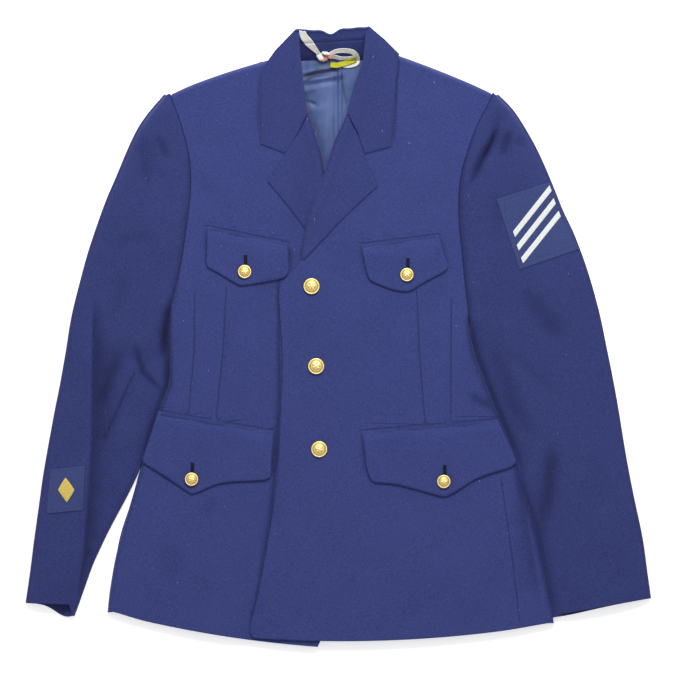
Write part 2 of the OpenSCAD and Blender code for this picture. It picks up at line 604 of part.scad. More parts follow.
// Embroidered lozenge in the middle of the cuff badge
module cuff_emblem() {
  rise = badge_gap + badge_t + 0.1;
  half = [0.24, 0.3];
  at = function(a, b, lift) patch_at(sleeve_r, cuff_corners, a, b, lift);
  row = function(k, lift) [for (j = [-2:2])
    let (w = (1 - abs(k)) * half[0] + 0.03) at(0.5 + w * j / 2, 0.5 + half[1] * k, lift)];
  color(gold) shell([for (i = [-4:4]) row(i / 4, rise + braid_t)], [for (i = [-4:4]) row(i / 4, rise)]);
}

// ---- Neck ribbon ---------------------------------------------------------

ribbon_gap = 0.4;
function tape_z(x, y) = max(stand_z(x, y), neck_seam_z) + ribbon_gap;
// Flat tape along points [x, y]; its ends are cut square
module tape(path, width, thick, lift) {
  n = len(path) - 1;
  steps = n * 4;
  point = function(v) along(path, min(v, n - EPS));
  upper = [for (i = [0:steps])
    let (
      v = n * i / steps,
      p = point(v),
      d = point(min(v + 0.1, n)) - point(max(v - 0.1, 0)),
      side = [-d[1], d[0]] / norm(d) * width / 2
    )
    [for (k = [-1:1]) let (q = p + k * side) [q[0], q[1], tape_z(q[0], q[1]) + lift + thick]]];
  lower = [for (line = upper) [for (p = line) p - [0, 0, thick]]];
  shell(upper, lower);
}
knot = [-17, 364];
module neck_ribbon() {
  color("#e4e2d8") {
    tape([[-40, 394], [-33, 382], [-26, 373], [-20, 367]], tape_w, tape_t, 0);
    tape([[-12, 364.5], [0, 370], [14, 373], [25, 368], [29, 359], [24, 352], [14, 350.5]], tape_w * 0.75, tape_t, 0);
    translate([knot[0] + 1, knot[1], tape_z(knot[0], knot[1]) + 4.6]) scale([1, 0.8, 0.8]) sphere(d = 8);
  }
}
module neck_tag() {
  mid = [5.5, 355.5];
  half = tag_l / 2;
  color("#cdcd2f") tape([mid + [-half, -2.5], mid + [0, 1], mid + [half, 2.5]], tag_w, tape_t, tape_t + ribbon_gap);
}

// ---- Buttons -------------------------------------------------------------

shank_ring = 2;
shank_reach = shank_ring + shank_wire_d / 2;
shank_l = 2 * shank_reach - 0.5;
shank_gap = 0.3;
rim_h = 2;
// Domed sheet-metal shell with a rolled rim and a raised boss; the rim stands on Z = 0
module button_shell(d) {
  r = d / 2;
  bead = 0.9;
  crown = function(a, off) [(r - 2 * bead - off) * sin(a), rim_h - off + (button_dome) * cos(a)];
  outer = [for (a = [0:15:90]) crown(a, 0)];
  inner = [for (a = [90:-15:0]) crown(a, button_wall)];
  color(gold) rotate_extrude() {
    polygon(concat(outer, [[r - bead, rim_h + 0.2], [r, rim_h - 0.4], [r, 0.5], [r - 0.4, 0],
      [r - bead, 0], [r - bead, rim_h - bead]], inner));
    translate([r * 0.5, rim_h + button_dome * 0.72]) circle(d = 0.9, $fn = 16);
  }
}
// Back plate, crimped inside the rim, with the wire loop of the shank
module button_back(d) {
  plate = 0.7;
  fit = 0.08;
  color("#b89a45") union() {
    translate([0, 0, 0.2]) cylinder(h = plate, d = d - 2 * (0.9 + fit));
    translate([0, 0, 0.2 + 0.5 - shank_reach]) rotate([90, 0, 0])
      rotate_extrude() translate([shank_ring, 0]) circle(d = shank_wire_d, $fn = 20);
  }
}
// Height of a button's rim over the cloth that its shank is sewn to
button_lift = shank_gap + shank_l - 0.2;
module on_front(b) { translate([b[0], b[1], under_z(b[0], b[1]) + button_lift]) children(); }
module on_pocket(b) { translate([b[0], b[1], front_z(b[0], b[1]) + button_lift]) children(); }

module front_button_top_shell() { on_front(front_buttons[0]) button_shell(front_button_d); }
module front_button_top_back() { on_front(front_buttons[0]) button_back(front_button_d); }
module front_button_middle_shell() { on_front(front_buttons[1]) button_shell(front_button_d); }
module front_button_middle_back() { on_front(front_buttons[1]) button_back(front_button_d); }
module front_button_bottom_shell() { on_front(front_buttons[2]) button_shell(front_button_d); }
module front_button_bottom_back() { on_front(front_buttons[2]) button_back(front_button_d); }
module chest_button_right_shell() { on_pocket(chest_button_r) button_shell(flap_button_d); }
module chest_button_right_back() { on_pocket(chest_button_r) button_back(flap_button_d); }
module chest_button_left_shell() { on_pocket(chest_button_l) button_shell(flap_button_d); }
module chest_button_left_back() { on_pocket(chest_button_l) button_back(flap_button_d); }
module hip_button_right_shell() { on_pocket(hip_button_r) button_shell(flap_button_d); }
module hip_button_right_back() { on_pocket(hip_button_r) button_back(flap_button_d); }
module hip_button_left_shell() { on_pocket(hip_button_l) button_shell(flap_button_d); }
module hip_button_left_back() { on_pocket(hip_button_l) button_back(flap_button_d); }

back_right();
back_left();
back_lining();
front_shoulder_right();
front_shoulder_left();
side_body_right();
side_body_left();
shoulder_pads();
collar_stand();
collar_fall();
front_right();
front_lining_right();
lapel_right();
collar_leaf_right();
front_left();
front_lining_left();
lapel_left();
collar_leaf_left();
front_buttonholes();
pocket_welts_right();
pocket_welts_left();
pocket_bags_right();
pocket_bags_left();
chest_flap_right();
chest_flap_left();
hip_flap_right();
hip_flap_left();
chest_buttonhole_right();
chest_buttonhole_left();
hip_buttonhole_right();
hip_buttonhole_left();
top_sleeve_right();
under_sleeve_right();
sleeve_lining_right();
top_sleeve_left();
under_sleeve_left();
sleeve_lining_left();
rank_badge();
rank_stripes();
cuff_badge();
cuff_emblem();
neck_ribbon();
neck_tag();
front_button_top_shell();
front_button_top_back();
front_button_middle_shell();
front_button_middle_back();
front_button_bottom_shell();
front_button_bottom_back();
chest_button_right_shell();
chest_button_right_back();
chest_button_left_shell();
chest_button_left_back();
hip_button_right_shell();
hip_button_right_back();
hip_button_left_shell();
hip_button_left_back();
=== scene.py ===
"""A blue wool uniform jacket that lies flat on its back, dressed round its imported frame.

Left and right are the wearer's. X points to the wearer's left, Y to the collar and Z up.
Outlines are written in millimetres, as a cutter would, and turned into metres as they are used.
"""

import json
import logging
import math
from dataclasses import dataclass, field
from enum import Enum
from functools import cache
from typing import Callable, Iterable, Sequence

import bmesh
import bpy
from mathutils import Matrix, Vector, noise

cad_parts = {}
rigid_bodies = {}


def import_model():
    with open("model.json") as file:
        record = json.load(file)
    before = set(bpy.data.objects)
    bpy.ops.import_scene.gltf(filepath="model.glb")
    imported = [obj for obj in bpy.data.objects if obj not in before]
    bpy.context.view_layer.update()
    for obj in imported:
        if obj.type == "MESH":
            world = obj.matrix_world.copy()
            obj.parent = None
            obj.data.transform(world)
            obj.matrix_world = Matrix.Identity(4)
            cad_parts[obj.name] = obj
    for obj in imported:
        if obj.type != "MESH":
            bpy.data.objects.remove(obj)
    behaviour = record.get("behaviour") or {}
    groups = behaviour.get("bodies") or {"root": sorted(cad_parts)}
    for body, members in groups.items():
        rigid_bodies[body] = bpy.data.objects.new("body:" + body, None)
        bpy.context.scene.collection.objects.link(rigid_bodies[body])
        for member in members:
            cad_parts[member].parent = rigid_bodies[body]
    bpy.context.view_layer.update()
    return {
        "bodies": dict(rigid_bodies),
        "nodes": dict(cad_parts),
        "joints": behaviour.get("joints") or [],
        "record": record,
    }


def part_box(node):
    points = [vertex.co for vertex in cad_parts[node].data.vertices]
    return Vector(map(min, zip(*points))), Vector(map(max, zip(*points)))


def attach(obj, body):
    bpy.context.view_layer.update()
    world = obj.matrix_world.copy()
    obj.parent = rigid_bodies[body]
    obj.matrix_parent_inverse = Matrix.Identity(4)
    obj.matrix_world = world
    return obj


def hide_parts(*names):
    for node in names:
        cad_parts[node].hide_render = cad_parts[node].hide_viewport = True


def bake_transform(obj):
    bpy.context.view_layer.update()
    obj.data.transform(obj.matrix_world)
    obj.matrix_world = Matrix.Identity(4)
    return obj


LOG = logging.getLogger("jacket")
MM = 0.001

Point = tuple[float, float]
Spot = tuple[float, float, float]
Row = tuple[float, float, float, float]
Colour = tuple[float, float, float]
Place = Callable[[float, float], Vector]


class Side(Enum):
    """Which side of the wearer a piece is on."""

    RIGHT = "right"
    LEFT = "left"

    @property
    def sign(self) -> int:
        """Direction of this side along X."""
        return 1 if self is Side.LEFT else -1


# ---------------------------------------------------------------- curves


def mix(a: float, b: float, t: float) -> float:
    """Value a share t of the way from a to b."""
    return a + (b - a) * t


def clamp01(t: float) -> float:
    """t held between 0 and 1."""
    return max(0.0, min(1.0, t))


def ease(t: float) -> float:
    """Smooth step of t between 0 and 1."""
    c = clamp01(t)
    return c * c * (3 - 2 * c)


def along(rows: Sequence[Sequence[float]], t: float) -> list[float]:
    """Smooth curve through rows of numbers.

    Args:
        rows: The values that the curve passes through, in order.
        t: Place along the curve, from 0 at the first row to 1 at the last.

    Returns:
        The interpolated row.
    """
    last = len(rows) - 1
    place = clamp01(t) * last
    i = min(int(place), last - 1)
    f = place - i
    a, b, c, d = (rows[max(0, min(last, k))] for k in (i - 1, i, i + 1, i + 2))
    return [
        0.5 * (2 * q + (r - p) * f + (2 * p - 5 * q + 4 * r - s) * f * f + (3 * q - p - 3 * r + s) * f**3)
        for p, q, r, s in zip(a, b, c, d)
    ]


def lookup(table: Sequence[Point], y: float) -> float:
    """Value at y in a table of (y, value) pairs that rises in y, held at its ends."""
    if y <= table[0][0]:
        return table[0][1]
    for (y1, v1), (y2, v2) in zip(table, table[1:]):
        if y <= y2:
            return mix(v1, v2, (y - y1) / (y2 - y1))
    return table[-1][1]


def rounded(points: Sequence[Point], times: int = 2) -> list[Point]:
    """Cuts the corners of an open line, so that they turn softly. Its ends stay."""
    line = list(points)
    for _ in range(times):
        cut = [line[0]]
        for (ax, ay), (bx, by) in zip(line, line[1:]):
            cut += [(mix(ax, bx, 0.25), mix(ay, by, 0.25)), (mix(ax, bx, 0.75), mix(ay, by, 0.75))]
        line = cut + [line[-1]]
    return line


def walk(points: Sequence[Point], t: float) -> Point:
    """Point a share t of the way along a line."""
    sizes = [math.dist(a, b) for a, b in zip(points, points[1:])]
    left = clamp01(t) * sum(sizes)
    for a, b, size in zip(points, points[1:], sizes):
        if left <= size:
            share = left / size if size else 0.0
            return mix(a[0], b[0], share), mix(a[1], b[1], share)
        left -= size
    return points[-1]


def beside(x: float, y: float, start: Point, end: Point) -> tuple[float, float, float]:
    """Where a point lies beside a line.

    Args:
        x: X of the point.
        y: Y of the point.
        start: Start of the line.
        end: End of the line.

    Returns:
        Its share along the line, how far it lies to the line's right, and the line's length.
    """
    dx, dy = end[0] - start[0], end[1] - start[1]
    size = math.hypot(dx, dy)
    x, y = x - start[0], y - start[1]
    return (x * dx + y * dy) / (size * size), (x * dy - y * dx) / size, size


# ---------------------------------------------------------------- drape


@dataclass(frozen=True)
class Crease:
    """A soft fold in the cloth, from one point to another, in millimetres.

    A positive height is a ridge and a negative one a valley.
    """

    start: Point
    end: Point
    width: float
    height: float

    def lift(self, x: float, y: float) -> float:
        """Height that the fold adds at a point."""
        t, side, size = beside(x, y, self.start, self.end)
        held = clamp01(t)
        away = math.hypot(side, (t - held) * size) / self.width
        if away > 3:
            return 0.0
        taper = math.sin(math.pi * (0.08 + 0.84 * held)) ** 0.7
        return self.height * taper * math.exp(-away * away)


def ripple(x: float, y: float, length: float, height: float, seed: float = 0.0) -> float:
    """Slow unevenness of laid cloth: smooth noise of a given wavelength and height."""
    return height * noise.noise(Vector((x / length, y / length, seed)))


@dataclass(frozen=True)
class HingeLine:
    """The line that one front turns about, taken from its joint."""

    x: float
    y: float
    z: float
    slope_x: float
    slope_z: float

    @classmethod
    def of(cls, frame: dict, joint: str) -> "HingeLine":
        """Reads a hinge line from the frame's joint of that name."""
        found = next(j for j in frame["joints"] if j["name"] == joint)
        x, y, z = (c / MM for c in found["pos_m"])
        ax, ay, az = found["axis"]
        return cls(x, y, z, ax / ay, az / ay)

    def x_at(self, y: float) -> float:
        """X of the line at a given Y."""
        return self.x + (y - self.y) * self.slope_x

    def z_at(self, y: float) -> float:
        """Z of the line at a given Y."""
        return self.z + (y - self.y) * self.slope_z


@dataclass
class Drape:
    """Height of the front's outer face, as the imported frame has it."""

    right: HingeLine
    left: HingeLine
    hem_y: float = -368
    neck_y: float = 358
    hem_dome: float = 6
    chest_dome: float = 18
    overlap_drop: float = 4.3
    lapel_drop: float = 2.5
    overlap_run: float = 40
    break_y: float = 85
    fall: float = 0.05
    leading_edge: tuple[Point, ...] = (
        (-400, -112), (-380, -114), (-308, -101), (-265, -92), (-174, -79), (-46, -73),
        (26, -76), (62, -79), (84, -54), (95, -51), (142, -43), (219, -17), (259, -4), (290, 12),
    )

    def top(self, x: float, y: float) -> float:
        """Height of the left front's outer face."""
        xr, xl = self.right.x_at(y), self.left.x_at(y)
        side = self.left.z_at(y)
        across = (2 * x - xr - xl) / (xl - xr)
        if abs(across) <= 1:
            rise = mix(self.hem_dome, self.chest_dome, clamp01((y - self.hem_y) / (self.neck_y - self.hem_y)))
            return side + rise * (1 - across * across)
        return side - self.fall * (abs(across) - 1) * (xl - xr) / 2

    def under(self, x: float, y: float) -> float:
        """Height of the right front's outer face, which sinks under the left front."""
        past = x - lookup(self.leading_edge, y) + self.overlap_run
        drop = self.overlap_drop + self.lapel_drop * ease((y - self.break_y) / 20)
        return self.top(x, y) - drop * ease(past / (self.overlap_run - 4))


# ---------------------------------------------------------------- cloth


def smooth(mesh: bpy.types.Mesh) -> bpy.types.Mesh:
    """Shades every face of a mesh smoothly."""
    for face in mesh.polygons:
        face.use_smooth = True
    return mesh


def linked(name: str, data: bpy.types.ID) -> bpy.types.Object:
    """Links a mesh, lamp or camera into the scene as an object at the origin."""
    piece = bpy.data.objects.new(name, data)
    bpy.context.scene.collection.objects.link(piece)
    return piece


def from_bmesh(bm: bmesh.types.BMesh, name: str) -> bpy.types.Object:
    """Turns a bmesh into an object and frees the bmesh."""
    mesh = bpy.data.meshes.new(name)
    bm.to_mesh(mesh)
    bm.free()
    return linked(name, smooth(mesh))


def thickened(piece: bpy.types.Object, thick: float, rim: float = 0.4) -> bpy.types.Object:
    """Gives an open sheet its thickness below its face, with a softened edge.

    Args:
        piece: The open sheet, with its faces pointing up.
        thick: Thickness in millimetres.
        rim: Width of the edge's bevel, in millimetres.

    Returns:
        The same object, with a closed mesh.
    """
    solid = piece.modifiers.new("thickness", "SOLIDIFY")
    solid.thickness = thick * MM
    solid.offset = -1
    solid.use_rim = True
    if rim:
        edge = piece.modifiers.new("edge", "BEVEL")
        edge.width = rim * MM
        edge.segments = 2
        edge.limit_method = "ANGLE"
        edge.angle_limit = math.radians(60)
    applied(piece)
    return piece


def applied(piece: bpy.types.Object) -> bpy.types.Object:
    """Applies every modifier of a piece to its mesh."""
    graph = bpy.context.evaluated_depsgraph_get()
    graph.update()
    mesh = bpy.data.meshes.new_from_object(piece.evaluated_get(graph))
    piece.modifiers.clear()
    piece.data = smooth(mesh)
    return piece


def crowded(t: float, share: float) -> float:
    """Moves an even spacing of t towards both its ends, by a share from 0 to 1."""
    return mix(t, (1 - math.cos(math.pi * t)) / 2, share)


def cloth(
    name: str,
    place: Place,
    cells: tuple[int, int],
    thick: float,
    crowd: float = 0.6,
    upward: bool = True,
    rim: float = 0.4,
) -> bpy.types.Object:
    """A panel of cloth made from a grid that is laid where a function says.

    Args:
        name: Name of the piece.
        place: Gives the point, in millimetres, at (u across, v down), each from 0 to 1.
        cells: How many faces lie across and down the panel.
        thick: Thickness in millimetres, or 0 for an open sheet.
        crowd: How closely the cells crowd towards the panel's edges, from 0 to 1.
        upward: Whether the outer face looks up rather than down.
        rim: Width of the edge's bevel, in millimetres.

    Returns:
        The finished panel.
    """
    bm = bmesh.new()
    bmesh.ops.create_grid(bm, x_segments=cells[0], y_segments=cells[1], size=0.5)
    layer = bm.loops.layers.uv.new("cut")
    bm.faces.ensure_lookup_table()
    for face in bm.faces:
        for loop in face.loops:
            loop[layer].uv = (loop.vert.co.x + 0.5, 0.5 - loop.vert.co.y)
    for vert in bm.verts:
        u, v = crowded(vert.co.x + 0.5, crowd), crowded(0.5 - vert.co.y, crowd)
        vert.co = place(u, v) * MM
    bm.normal_update()
    if (sum(face.normal.z * face.calc_area() for face in bm.faces) > 0) != upward:
        bmesh.ops.reverse_faces(bm, faces=bm.faces[:])
    piece = from_bmesh(bm, name)
    return thickened(piece, thick, rim) if thick else piece


def rolled(u: float, v: float, width: float, height: float, depth: float = 0.9, reach: float = 4.0) -> float:
    """How far a turned edge rolls down: most at the edge, none past its reach, all in millimetres."""
    away = min(u * width, (1 - u) * width, v * height, (1 - v) * height)
    return depth * (1 - clamp01(away / reach)) ** 2


@dataclass(frozen=True)
class Stitching:
    """A row of machine stitches."""

    length: float = 2.4
    gap: float = 0.9
    radius: float = 0.28

    def sew(self, name: str, path: Sequence[Vector]) -> bpy.types.Object:
        """Lays stitches along a path.

        Args:
            name: Name of the piece.
            path: Points that the seam follows, in millimetres, dense enough to be smooth.

        Returns:
            One mesh with every stitch in it.
        """
        bm = bmesh.new()
        step = self.length + self.gap
        walked, due = 0.0, 0.0
        for a, b in zip(path, path[1:]):
            run = b - a
            size = run.length
            while size > 0 and due <= walked + size:
                middle = a + run * ((due - walked) / size)
                turn = run.to_track_quat("X", "Z").to_matrix().to_4x4()
                size_of = Matrix.Diagonal((self.length / 2, self.radius, self.radius * 0.8, 1))
                matrix = Matrix.Scale(MM, 4) @ Matrix.Translation(middle) @ turn @ size_of
                bmesh.ops.create_icosphere(bm, subdivisions=1, radius=1.0, matrix=matrix)
                due += step
            walked += size
        return from_bmesh(bm, name)


# ---------------------------------------------------------------- finishes


class Shader:
    """A material's node tree, written as plain expressions."""

    def __init__(self, name: str) -> None:
        self.material = bpy.data.materials.new(name)
        self.material.use_nodes = True
        self.tree = self.material.node_tree
        self.surface = self.tree.nodes["Principled BSDF"]
        self._coordinates = self.tree.nodes.new("ShaderNodeTexCoord")

    def put(self, socket: str, value) -> None:
        """Gives one of the surface's sockets a plain value or the output of a node."""
        self.feed(self.surface.inputs[socket], value)

    def feed(self, socket, value) -> None:
        """Links an output into a socket, or sets the socket's own value."""
        if isinstance(value, bpy.types.NodeSocket):
            self.tree.links.new(value, socket)
        elif isinstance(value, tuple) and len(value) == 3 and socket.type == "RGBA":
            socket.default_value = (*value, 1.0)
        else:
            socket.default_value = value

    @property
    def place(self) -> bpy.types.NodeSocket:
        """Object coordinates, in metres."""
        return self._coordinates.outputs["Object"]

    def attribute(self, name: str) -> bpy.types.NodeSocket:
        """A value stored on the mesh."""
        node = self.tree.nodes.new("ShaderNodeAttribute")
        node.attribute_name = name
        return node.outputs["Fac"]

    def maths(self, kind: str, a, b=0.0, held: bool = False) -> bpy.types.NodeSocket:
        """One arithmetic step."""
        node = self.tree.nodes.new("ShaderNodeMath")
        node.operation = kind
        node.use_clamp = held
        self.feed(node.inputs[0], a)
        self.feed(node.inputs[1], b)
        return node.outputs[0]

    def stretch(self, vector, by: tuple[float, float, float], turn: float = 0.0) -> bpy.types.NodeSocket:
        """Coordinates scaled and turned about Z."""
        node = self.tree.nodes.new("ShaderNodeMapping")
        self.feed(node.inputs["Vector"], vector)
        node.inputs["Scale"].default_value = by
        node.inputs["Rotation"].default_value = (0, 0, turn)
        return node.outputs[0]

    def noise(
        self, vector, scale: float, detail: float = 2.0, rough: float = 0.5, twist: float = 0.0
    ) -> bpy.types.NodeSocket:
        """Smooth noise from 0 to 1."""
        node = self.tree.nodes.new("ShaderNodeTexNoise")
        self.feed(node.inputs["Vector"], vector)
        node.inputs["Scale"].default_value = scale
        node.inputs["Detail"].default_value = detail
        node.inputs["Roughness"].default_value = rough
        node.inputs["Distortion"].default_value = twist
        return node.outputs[0]

    def bands(self, vector, scale: float, twist: float = 0.0, twist_scale: float = 1.0) -> bpy.types.NodeSocket:
        """Ribs along X from 0 to 1."""
        node = self.tree.nodes.new("ShaderNodeTexWave")
        self.feed(node.inputs["Vector"], vector)
        node.inputs["Scale"].default_value = scale
        node.inputs["Distortion"].default_value = twist
        node.inputs["Detail Scale"].default_value = twist_scale
        return node.outputs["Fac"]

    def ramp(
        self, value, low: float, high: float, to_low: float = 0.0, to_high: float = 1.0
    ) -> bpy.types.NodeSocket:
        """Value moved from one range to another and held there."""
        node = self.tree.nodes.new("ShaderNodeMapRange")
        self.feed(node.inputs["Value"], value)
        for socket, number in (("From Min", low), ("From Max", high), ("To Min", to_low), ("To Max", to_high)):
            node.inputs[socket].default_value = number
        return node.outputs[0]

    def blend(self, share, a, b) -> bpy.types.NodeSocket:
        """Colour between a and b."""
        node = self.tree.nodes.new("ShaderNodeMix")
        node.data_type = "RGBA"
        self.feed(node.inputs["Factor"], share)
        self.feed(node.inputs[6], a)
        self.feed(node.inputs[7], b)
        return node.outputs[2]

    def bump(self, height, distance: float, strength: float = 1.0, normal=None) -> bpy.types.NodeSocket:
        """A bumped normal; distance is in metres."""
        node = self.tree.nodes.new("ShaderNodeBump")
        self.feed(node.inputs["Height"], height)
        node.inputs["Distance"].default_value = distance
        node.inputs["Strength"].default_value = strength
        if normal is not None:
            self.feed(node.inputs["Normal"], normal)
        return node.outputs[0]


def srgb(red: int, green: int, blue: int) -> Colour:
    """Linear colour of an sRGB one, from 0 to 255 a channel."""
    return tuple(
        c / 12.92 if c <= 0.04045 else ((c + 0.055) / 1.055) ** 2.4
        for c in (red / 255, green / 255, blue / 255)
    )


@dataclass(frozen=True)
class Wool:
    """Milled wool with a fine twill, a soft nap and stray lint, darkened by painted shade in its seams and
    where its mesh stores shade.
    """

    name: str
    dark: Colour
    light: Colour
    lint: float = 0.5

    def make(self) -> bpy.types.Material:
        """Builds the material."""
        s = Shader(self.name)
        cloudy = s.noise(s.place, 22, 2, 0.5)
        grain = s.noise(s.stretch(s.place, (1, 1.5, 1), 0.9), 430, 4, 0.8)
        flecks = s.noise(s.place, 1300, 2, 0.6)
        twill = s.bands(s.stretch(s.place, (1, 1, 1), 0.85), 240, 3.0, 2.0)
        shade = s.maths("ADD", s.maths("MULTIPLY", grain, 0.72), s.maths("MULTIPLY", flecks, 0.28))
        shade = s.maths("ADD", shade, s.maths("MULTIPLY", twill, 0.05))
        shade = s.maths("ADD", shade, s.maths("MULTIPLY", cloudy, 0.08))
        colour = s.blend(s.ramp(shade, 0.32, 0.8), self.dark, self.light)
        stray = s.noise(s.stretch(s.place, (1, 0.5, 1), 2.1), 330, 1, 0.4, 0.6)
        specks = s.ramp(stray, 0.80, 0.83, 0.0, self.lint)
        colour = s.blend(specks, colour, srgb(150, 158, 200))
        # Seams: a groove in the bump, with painted shade darkening the colour along it.
        away = s.maths("DIVIDE", s.attribute("seam_d"), 0.8)
        near = s.maths("POWER", 2.718, s.maths("MULTIPLY", s.maths("MULTIPLY", away, away), -1.0))
        groove = s.maths("MULTIPLY", near, s.attribute("seam_w"))
        colour = s.blend(s.maths("MULTIPLY", groove, 0.36), colour, tuple(c * 0.45 for c in self.dark))
        # Painted shade: the colour darkens towards a near-black blue where the mesh's shade attribute says.
        s.put("Base Color", s.blend(s.attribute("shade"), colour, tuple(c * 0.12 for c in self.dark)))
        s.put("Roughness", 0.92)
        s.put("Specular IOR Level", 0.12)
        s.put("Sheen Weight", 0.22)
        s.put("Sheen Roughness", 0.45)
        s.put("Sheen Tint", srgb(150, 160, 225))
        nap = s.bump(s.maths("ADD", grain, s.maths("MULTIPLY", twill, 0.25)), 0.0005, 0.5)
        s.put("Normal", s.bump(s.maths("MULTIPLY", groove, -1.0), 0.0006, 1.0, nap))
        return s.material


@dataclass(frozen=True)
class Satin:
    """Woven lining with a soft shine across its creases, darkened by painted shade where its mesh stores shade.
    """

    name: str
    dark: Colour
    light: Colour

    def make(self) -> bpy.types.Material:
        """Builds the material."""
        s = Shader(self.name)
        cloudy = s.noise(s.stretch(s.place, (1, 0.35, 1)), 60, 3, 0.6)
        weave = s.bands(s.stretch(s.place, (1, 1, 1), 1.5708), 900, 1.5)
        colour = s.blend(s.ramp(cloudy, 0.3, 0.75), self.dark, self.light)
        # Painted shade along the lining's creases, from the mesh's shade attribute.
        s.put("Base Color", s.blend(s.attribute("shade"), colour, tuple(c * 0.15 for c in self.dark)))
        s.put("Roughness", 0.5)
        s.put("Anisotropic", 0.4)
        s.put("Specular IOR Level", 0.5)
        s.put("Sheen Weight", 0.15)
        s.put("Normal", s.bump(s.maths("ADD", s.maths("MULTIPLY", weave, 0.2), cloudy), 0.0006, 0.35))
        return s.material


@dataclass(frozen=True)
class Metal:
    """Gilt brass, darker and redder where the surface is recessed."""

    name: str
    bright: Colour
    deep: Colour
    rough: float = 0.24

    def make(self) -> bpy.types.Material:
        """Builds the material."""
        s = Shader(self.name)
        worn = s.noise(s.place, 900, 3, 0.6)
        sunk = s.maths("ADD", s.attribute("recess"), s.ramp(worn, 0.5, 0.8, 0.0, 0.25))
        s.put("Base Color", s.blend(sunk, self.bright, self.deep))
        s.put("Metallic", 1.0)
        s.put("Roughness", s.ramp(worn, 0.3, 0.7, self.rough, self.rough + 0.16))
        s.put("Normal", s.bump(worn, 0.0001, 0.25))
        return s.material


@dataclass(frozen=True)
class Thread:
    """Embroidery, cord, tape or felt: a plain colour with ribs of thread."""

    name: str
    colour: Colour
    ribs: float = 1100
    turn: float = 0.0
    shine: float = 0.25
    rough: float = 0.55
    deep: float = 0.6

    def make(self) -> bpy.types.Material:
        """Builds the material."""
        s = Shader(self.name)
        ribs = s.bands(s.stretch(s.place, (1, 1, 1), self.turn), self.ribs, 1.2, 3.0)
        cloudy = s.noise(s.place, 300, 3, 0.6)
        shade = s.maths("ADD", s.maths("MULTIPLY", ribs, 0.5), s.maths("MULTIPLY", cloudy, 0.5))
        darkest = tuple(c * self.deep for c in self.colour)
        s.put("Base Color", s.blend(s.ramp(shade, 0.2, 0.75), darkest, self.colour))
        s.put("Roughness", self.rough)
        s.put("Specular IOR Level", self.shine)
        s.put("Normal", s.bump(shade, 0.0003, 0.6))
        return s.material


@cache
def made(recipe: Wool | Satin | Metal | Thread) -> bpy.types.Material:
    """The material of a recipe, built once."""
    return recipe.make()


class Finish(Enum):
    """Every finish on the jacket, with the name of its material slot."""

    WOOL = ("wool", Wool("wool", srgb(30, 37, 81), srgb(68, 77, 138)))
    # A darker copy of the wool: painted shade for welts and armhole allowances that lie under other cloth.
    WOOL_SHADE = ("wool_shade", Wool("wool_shade", srgb(28, 34, 72), srgb(58, 66, 120)))
    FELT = ("felt", Wool("felt", srgb(40, 48, 88), srgb(68, 79, 130), 0.2))
    SATIN = ("lining_satin", Satin("lining_satin", srgb(63, 83, 136), srgb(84, 106, 160)))
    PADDING = ("padding", Thread("padding", srgb(214, 208, 196), 200, 0.0, 0.1, 0.95, 0.85))
    POCKETING = ("pocketing", Thread("pocketing", srgb(196, 188, 168), 1400, 0.8, 0.1, 0.9, 0.9))
    GILT = ("gilt_brass", Metal("gilt_brass", srgb(250, 230, 160), srgb(224, 184, 100), 0.38))
    BRAID = ("white_braid", Thread("white_braid", srgb(226, 229, 228), 900, 0.95, 0.3, 0.5, 0.82))
    GOLD_THREAD = ("gold_thread", Thread("gold_thread", srgb(226, 200, 92), 1300, 0.3, 0.7, 0.4, 0.6))
    FELT_THREAD = ("felt", Thread("felt_thread", srgb(92, 100, 160), 2400, 0.4, 0.2, 0.6, 0.8))
    STAINED_TAPE = ("cotton_tape", Thread("stained_tape", srgb(216, 150, 140), 1500, 1.2, 0.1, 0.85, 0.86))
    TAPE = ("cotton_tape", Thread("cotton_tape", srgb(244, 243, 236), 1500, 1.2, 0.1, 0.85, 0.86))
    TAG = ("tag_yellow", Thread("tag_yellow", srgb(192, 190, 46), 700, 0.0, 0.2, 0.6, 0.88))
    BLACK_THREAD = ("wool_shade", Thread("buttonhole_thread", srgb(30, 34, 58), 1200, 1.57, 0.15, 0.7, 0.6))

    def paint(self, piece: bpy.types.Object) -> bpy.types.Object:
        """Gives a piece the material of this finish; the slot's name is not used."""
        slot, recipe = self.value
        piece.data.materials.clear()
        piece.data.materials.append(made(recipe))
        return piece


# ---------------------------------------------------------------- marks on cloth


def mark_seams(piece: bpy.types.Object, seams: Sequence[tuple[Point, Point]], reach: float = 7.0) -> None:
    """Stores how far each vertex is from the nearest seam, for the cloth's groove and the painted shade along
    it.

    Args:
        piece: A finished panel.
        seams: Straight seams, each from one point to another, in millimetres.
        reach: Distance within which a seam counts, in millimetres.
    """
    mesh = piece.data
    away = mesh.attributes.new("seam_d", "FLOAT", "POINT")
    weight = mesh.attributes.new("seam_w", "FLOAT", "POINT")
    for vert, d, w in zip(mesh.vertices, away.data, weight.data):
        x, y = vert.co.x / MM, vert.co.y / MM
        best, sign = reach, 1.0
        for start, end in seams:
            t, side, size = beside(x, y, start, end)
            near = math.hypot(side, (t - clamp01(t)) * size)
            if near < abs(best):
                best, sign = near, math.copysign(1.0, side)
        d.value = sign * best
        w.value = 1.0 - ease((best - 0.5 * reach) / (0.4 * reach))


